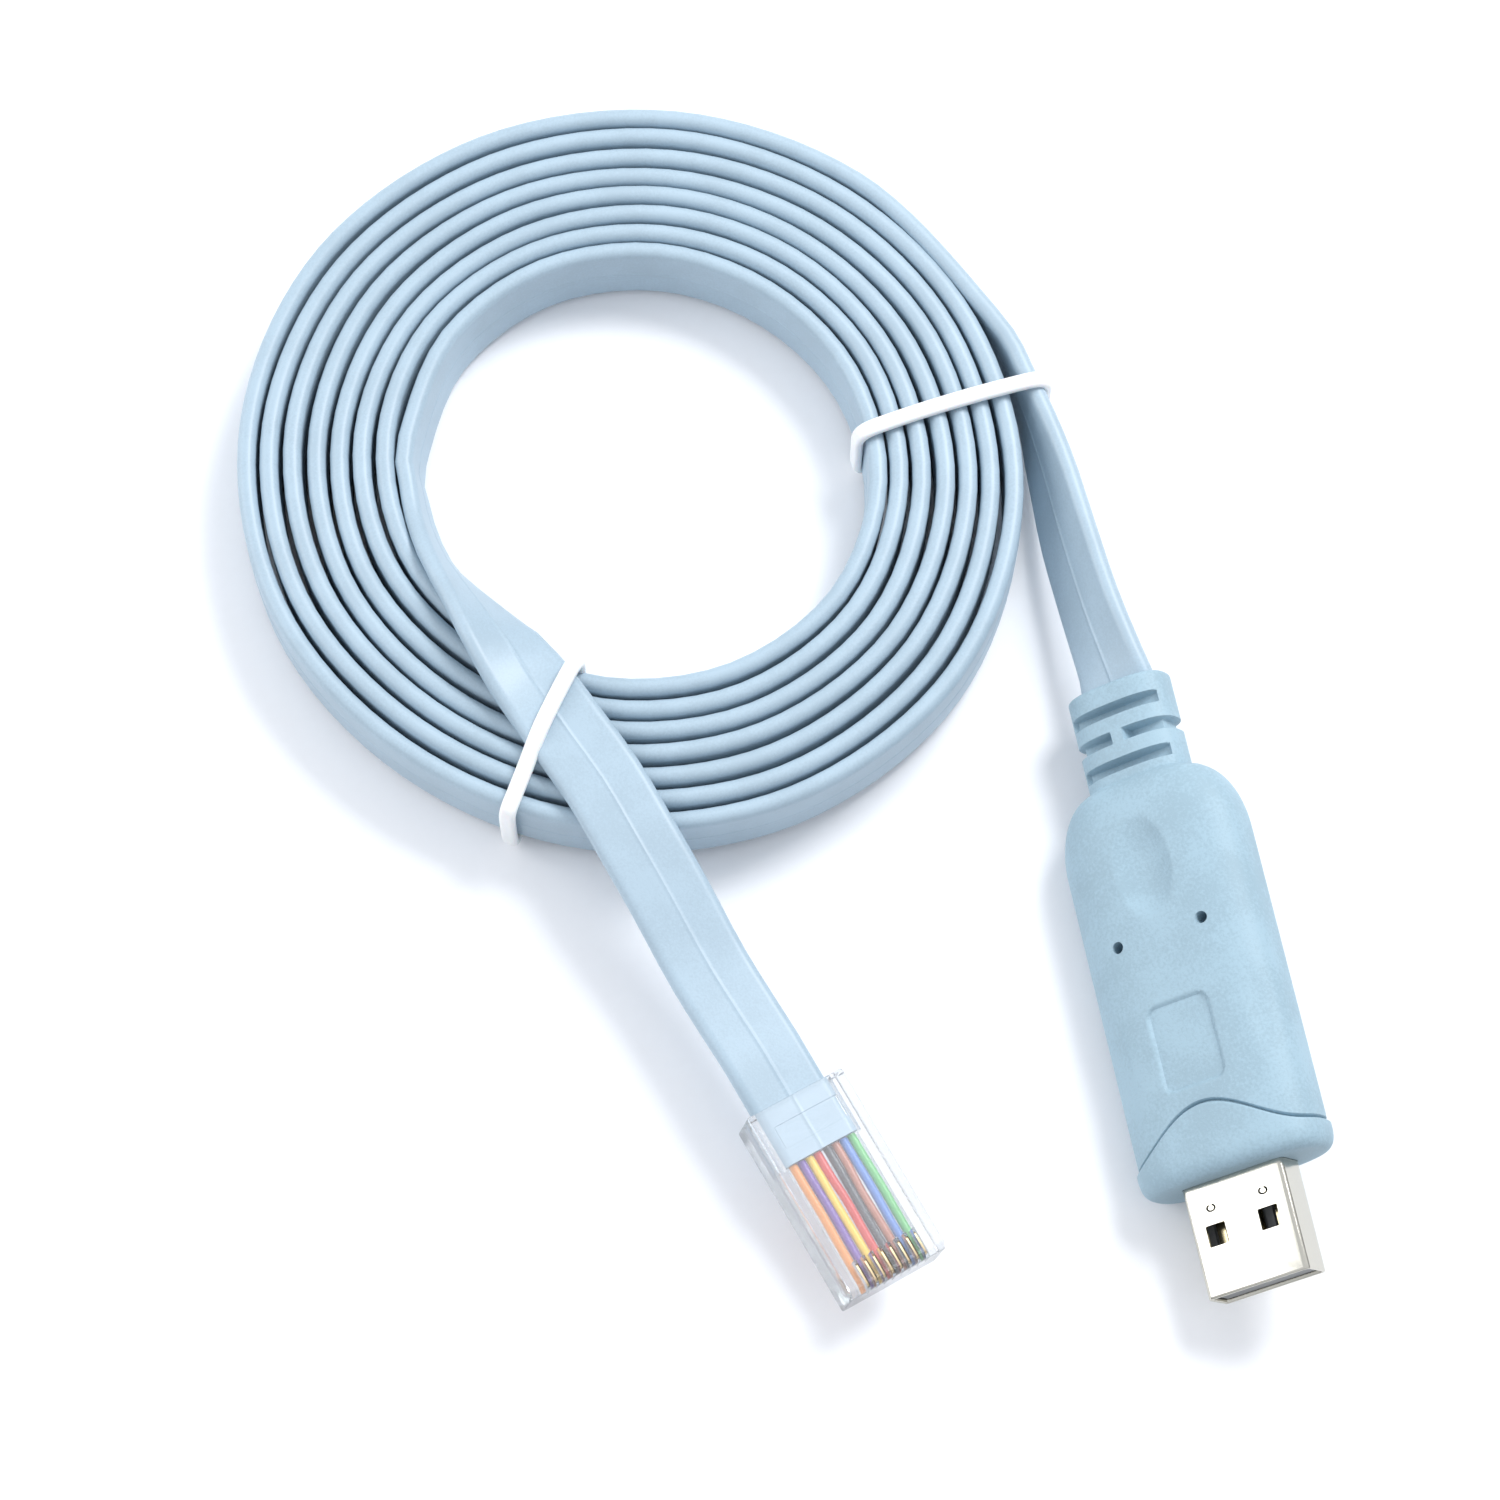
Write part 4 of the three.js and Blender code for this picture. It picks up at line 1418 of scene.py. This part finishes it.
def light_room(tree):
    """A white room that is darker round the horizon, so that walls and metal get their grey edges.
    The camera itself sees it white all over."""
    place = add_node(tree, "ShaderNodeTexCoord").outputs["Generated"]
    height = add_node(tree, "ShaderNodeSeparateXYZ", {0: place}).outputs["Z"]
    overhead = add_node(
        tree,
        "ShaderNodeMapRange",
        {
            "Value": height,
            "From Min": 0.05,
            "From Max": 0.65,
            "To Min": ROOM_LOW,
            "To Max": ROOM_HIGH,
        },
        interpolation_type="SMOOTHSTEP",
    )
    seen = add_node(tree, "ShaderNodeLightPath").outputs["Is Camera Ray"]
    strength = add_node(
        tree,
        "ShaderNodeMix",
        {0: seen, 2: overhead.outputs[0], 3: 1.0},
        data_type="FLOAT",
    )
    sky = tree.nodes["Background"]
    sky.inputs["Color"].default_value = (*linear("#f3f6fb"), 1)
    tree.links.new(strength.outputs[0], sky.inputs["Strength"])


class CABLE_OT_stage(bpy.types.Operator):
    """Makes the camera, the pale floor and the soft light"""

    bl_idname = "cable.stage"
    bl_label = "Stage"

    def execute(self, context):
        scene = context.scene
        size = scene.cable_stage
        target = Vector(VIEW_MIDDLE) * MM
        back = Vector(
            (
                math.sin(size.azimuth) * math.cos(size.elevation),
                -math.cos(size.azimuth) * math.cos(size.elevation),
                math.sin(size.elevation),
            )
        )
        data = bpy.data.cameras.new("camera")
        camera = linked("camera", data)
        camera.location = target + back * size.distance
        camera.rotation_euler = (-back).to_track_quat("-Z", "Y").to_euler()
        data.lens = size.lens
        data.sensor_width = 36
        data.clip_start, data.clip_end = 0.01, 20
        scene.camera = camera
        # Keeps the white floor white
        scene.view_settings.view_transform = "Standard"

        half = FLOOR_HALF
        corners = [(-half, -half, 0), (half, -half, 0), (half, half, 0), (-half, half, 0)]
        floor = mesh_object("floor", corners, [(0, 1, 2, 3)])
        # Painted board: matt and near white, with a barely uneven tone
        floor.data.materials.append(
            moulded("matt white board", size.floor, 0.8, 1.2, 0.01, mottle=0.004)
        )

        world = bpy.data.worlds.new("white room")
        world.use_nodes = True
        light_room(world.node_tree)
        scene.world = world
        for name, place, width, power in LAMPS:
            lamp = bpy.data.lights.new(name, "AREA")
            lamp.size = width
            lamp.energy = power
            lit = linked(name, lamp)
            lit.location = target + Vector(place)
            lit.rotation_euler = Vector(place).to_track_quat("Z", "Y").to_euler()
        return {"FINISHED"}


class CABLE_PT_panel(bpy.types.Panel):
    bl_label = "Console cable"
    bl_idname = "CABLE_PT_panel"
    bl_space_type = "VIEW_3D"
    bl_region_type = "UI"
    bl_category = "Cable"

    def draw(self, context):
        for label, group in SETTINGS.items():
            column = self.layout.column(align=True)
            column.label(text=label)
            settings = getattr(context.scene, group[0])
            for name in group[1].__annotations__:
                column.prop(settings, name)
        for maker in MAKERS:
            self.layout.operator(maker.bl_idname)


SETTINGS = {
    "Ribbon": ("cable_ribbon", RibbonSettings),
    "Ties": ("cable_ties", TieSettings),
    "Adapter": ("cable_adapter", AdapterSettings),
    "Clear plug": ("cable_clear", ClearPlugSettings),
    "Stage": ("cable_stage", StageSettings),
}
MAKERS = [
    CABLE_OT_stage,
    CABLE_OT_ribbon,
    CABLE_OT_ties,
    CABLE_OT_housing,
    CABLE_OT_shell,
    CABLE_OT_tongue,
    CABLE_OT_clear_body,
    CABLE_OT_wires,
    CABLE_OT_contacts,
    CABLE_OT_cord,
]


def register():
    for group, settings in SETTINGS.values():
        bpy.utils.register_class(settings)
        setattr(bpy.types.Scene, group, PointerProperty(type=settings))
    for maker in MAKERS:
        bpy.utils.register_class(maker)
    bpy.utils.register_class(CABLE_PT_panel)


def unregister():
    bpy.utils.unregister_class(CABLE_PT_panel)
    for maker in reversed(MAKERS):
        bpy.utils.unregister_class(maker)
    for group, settings in SETTINGS.values():
        delattr(bpy.types.Scene, group)
        bpy.utils.unregister_class(settings)


def main():
    register()
    for maker in MAKERS:
        group, name = maker.bl_idname.split(".")
        getattr(getattr(bpy.ops, group), name)()


if __name__ == "__main__":
    main()
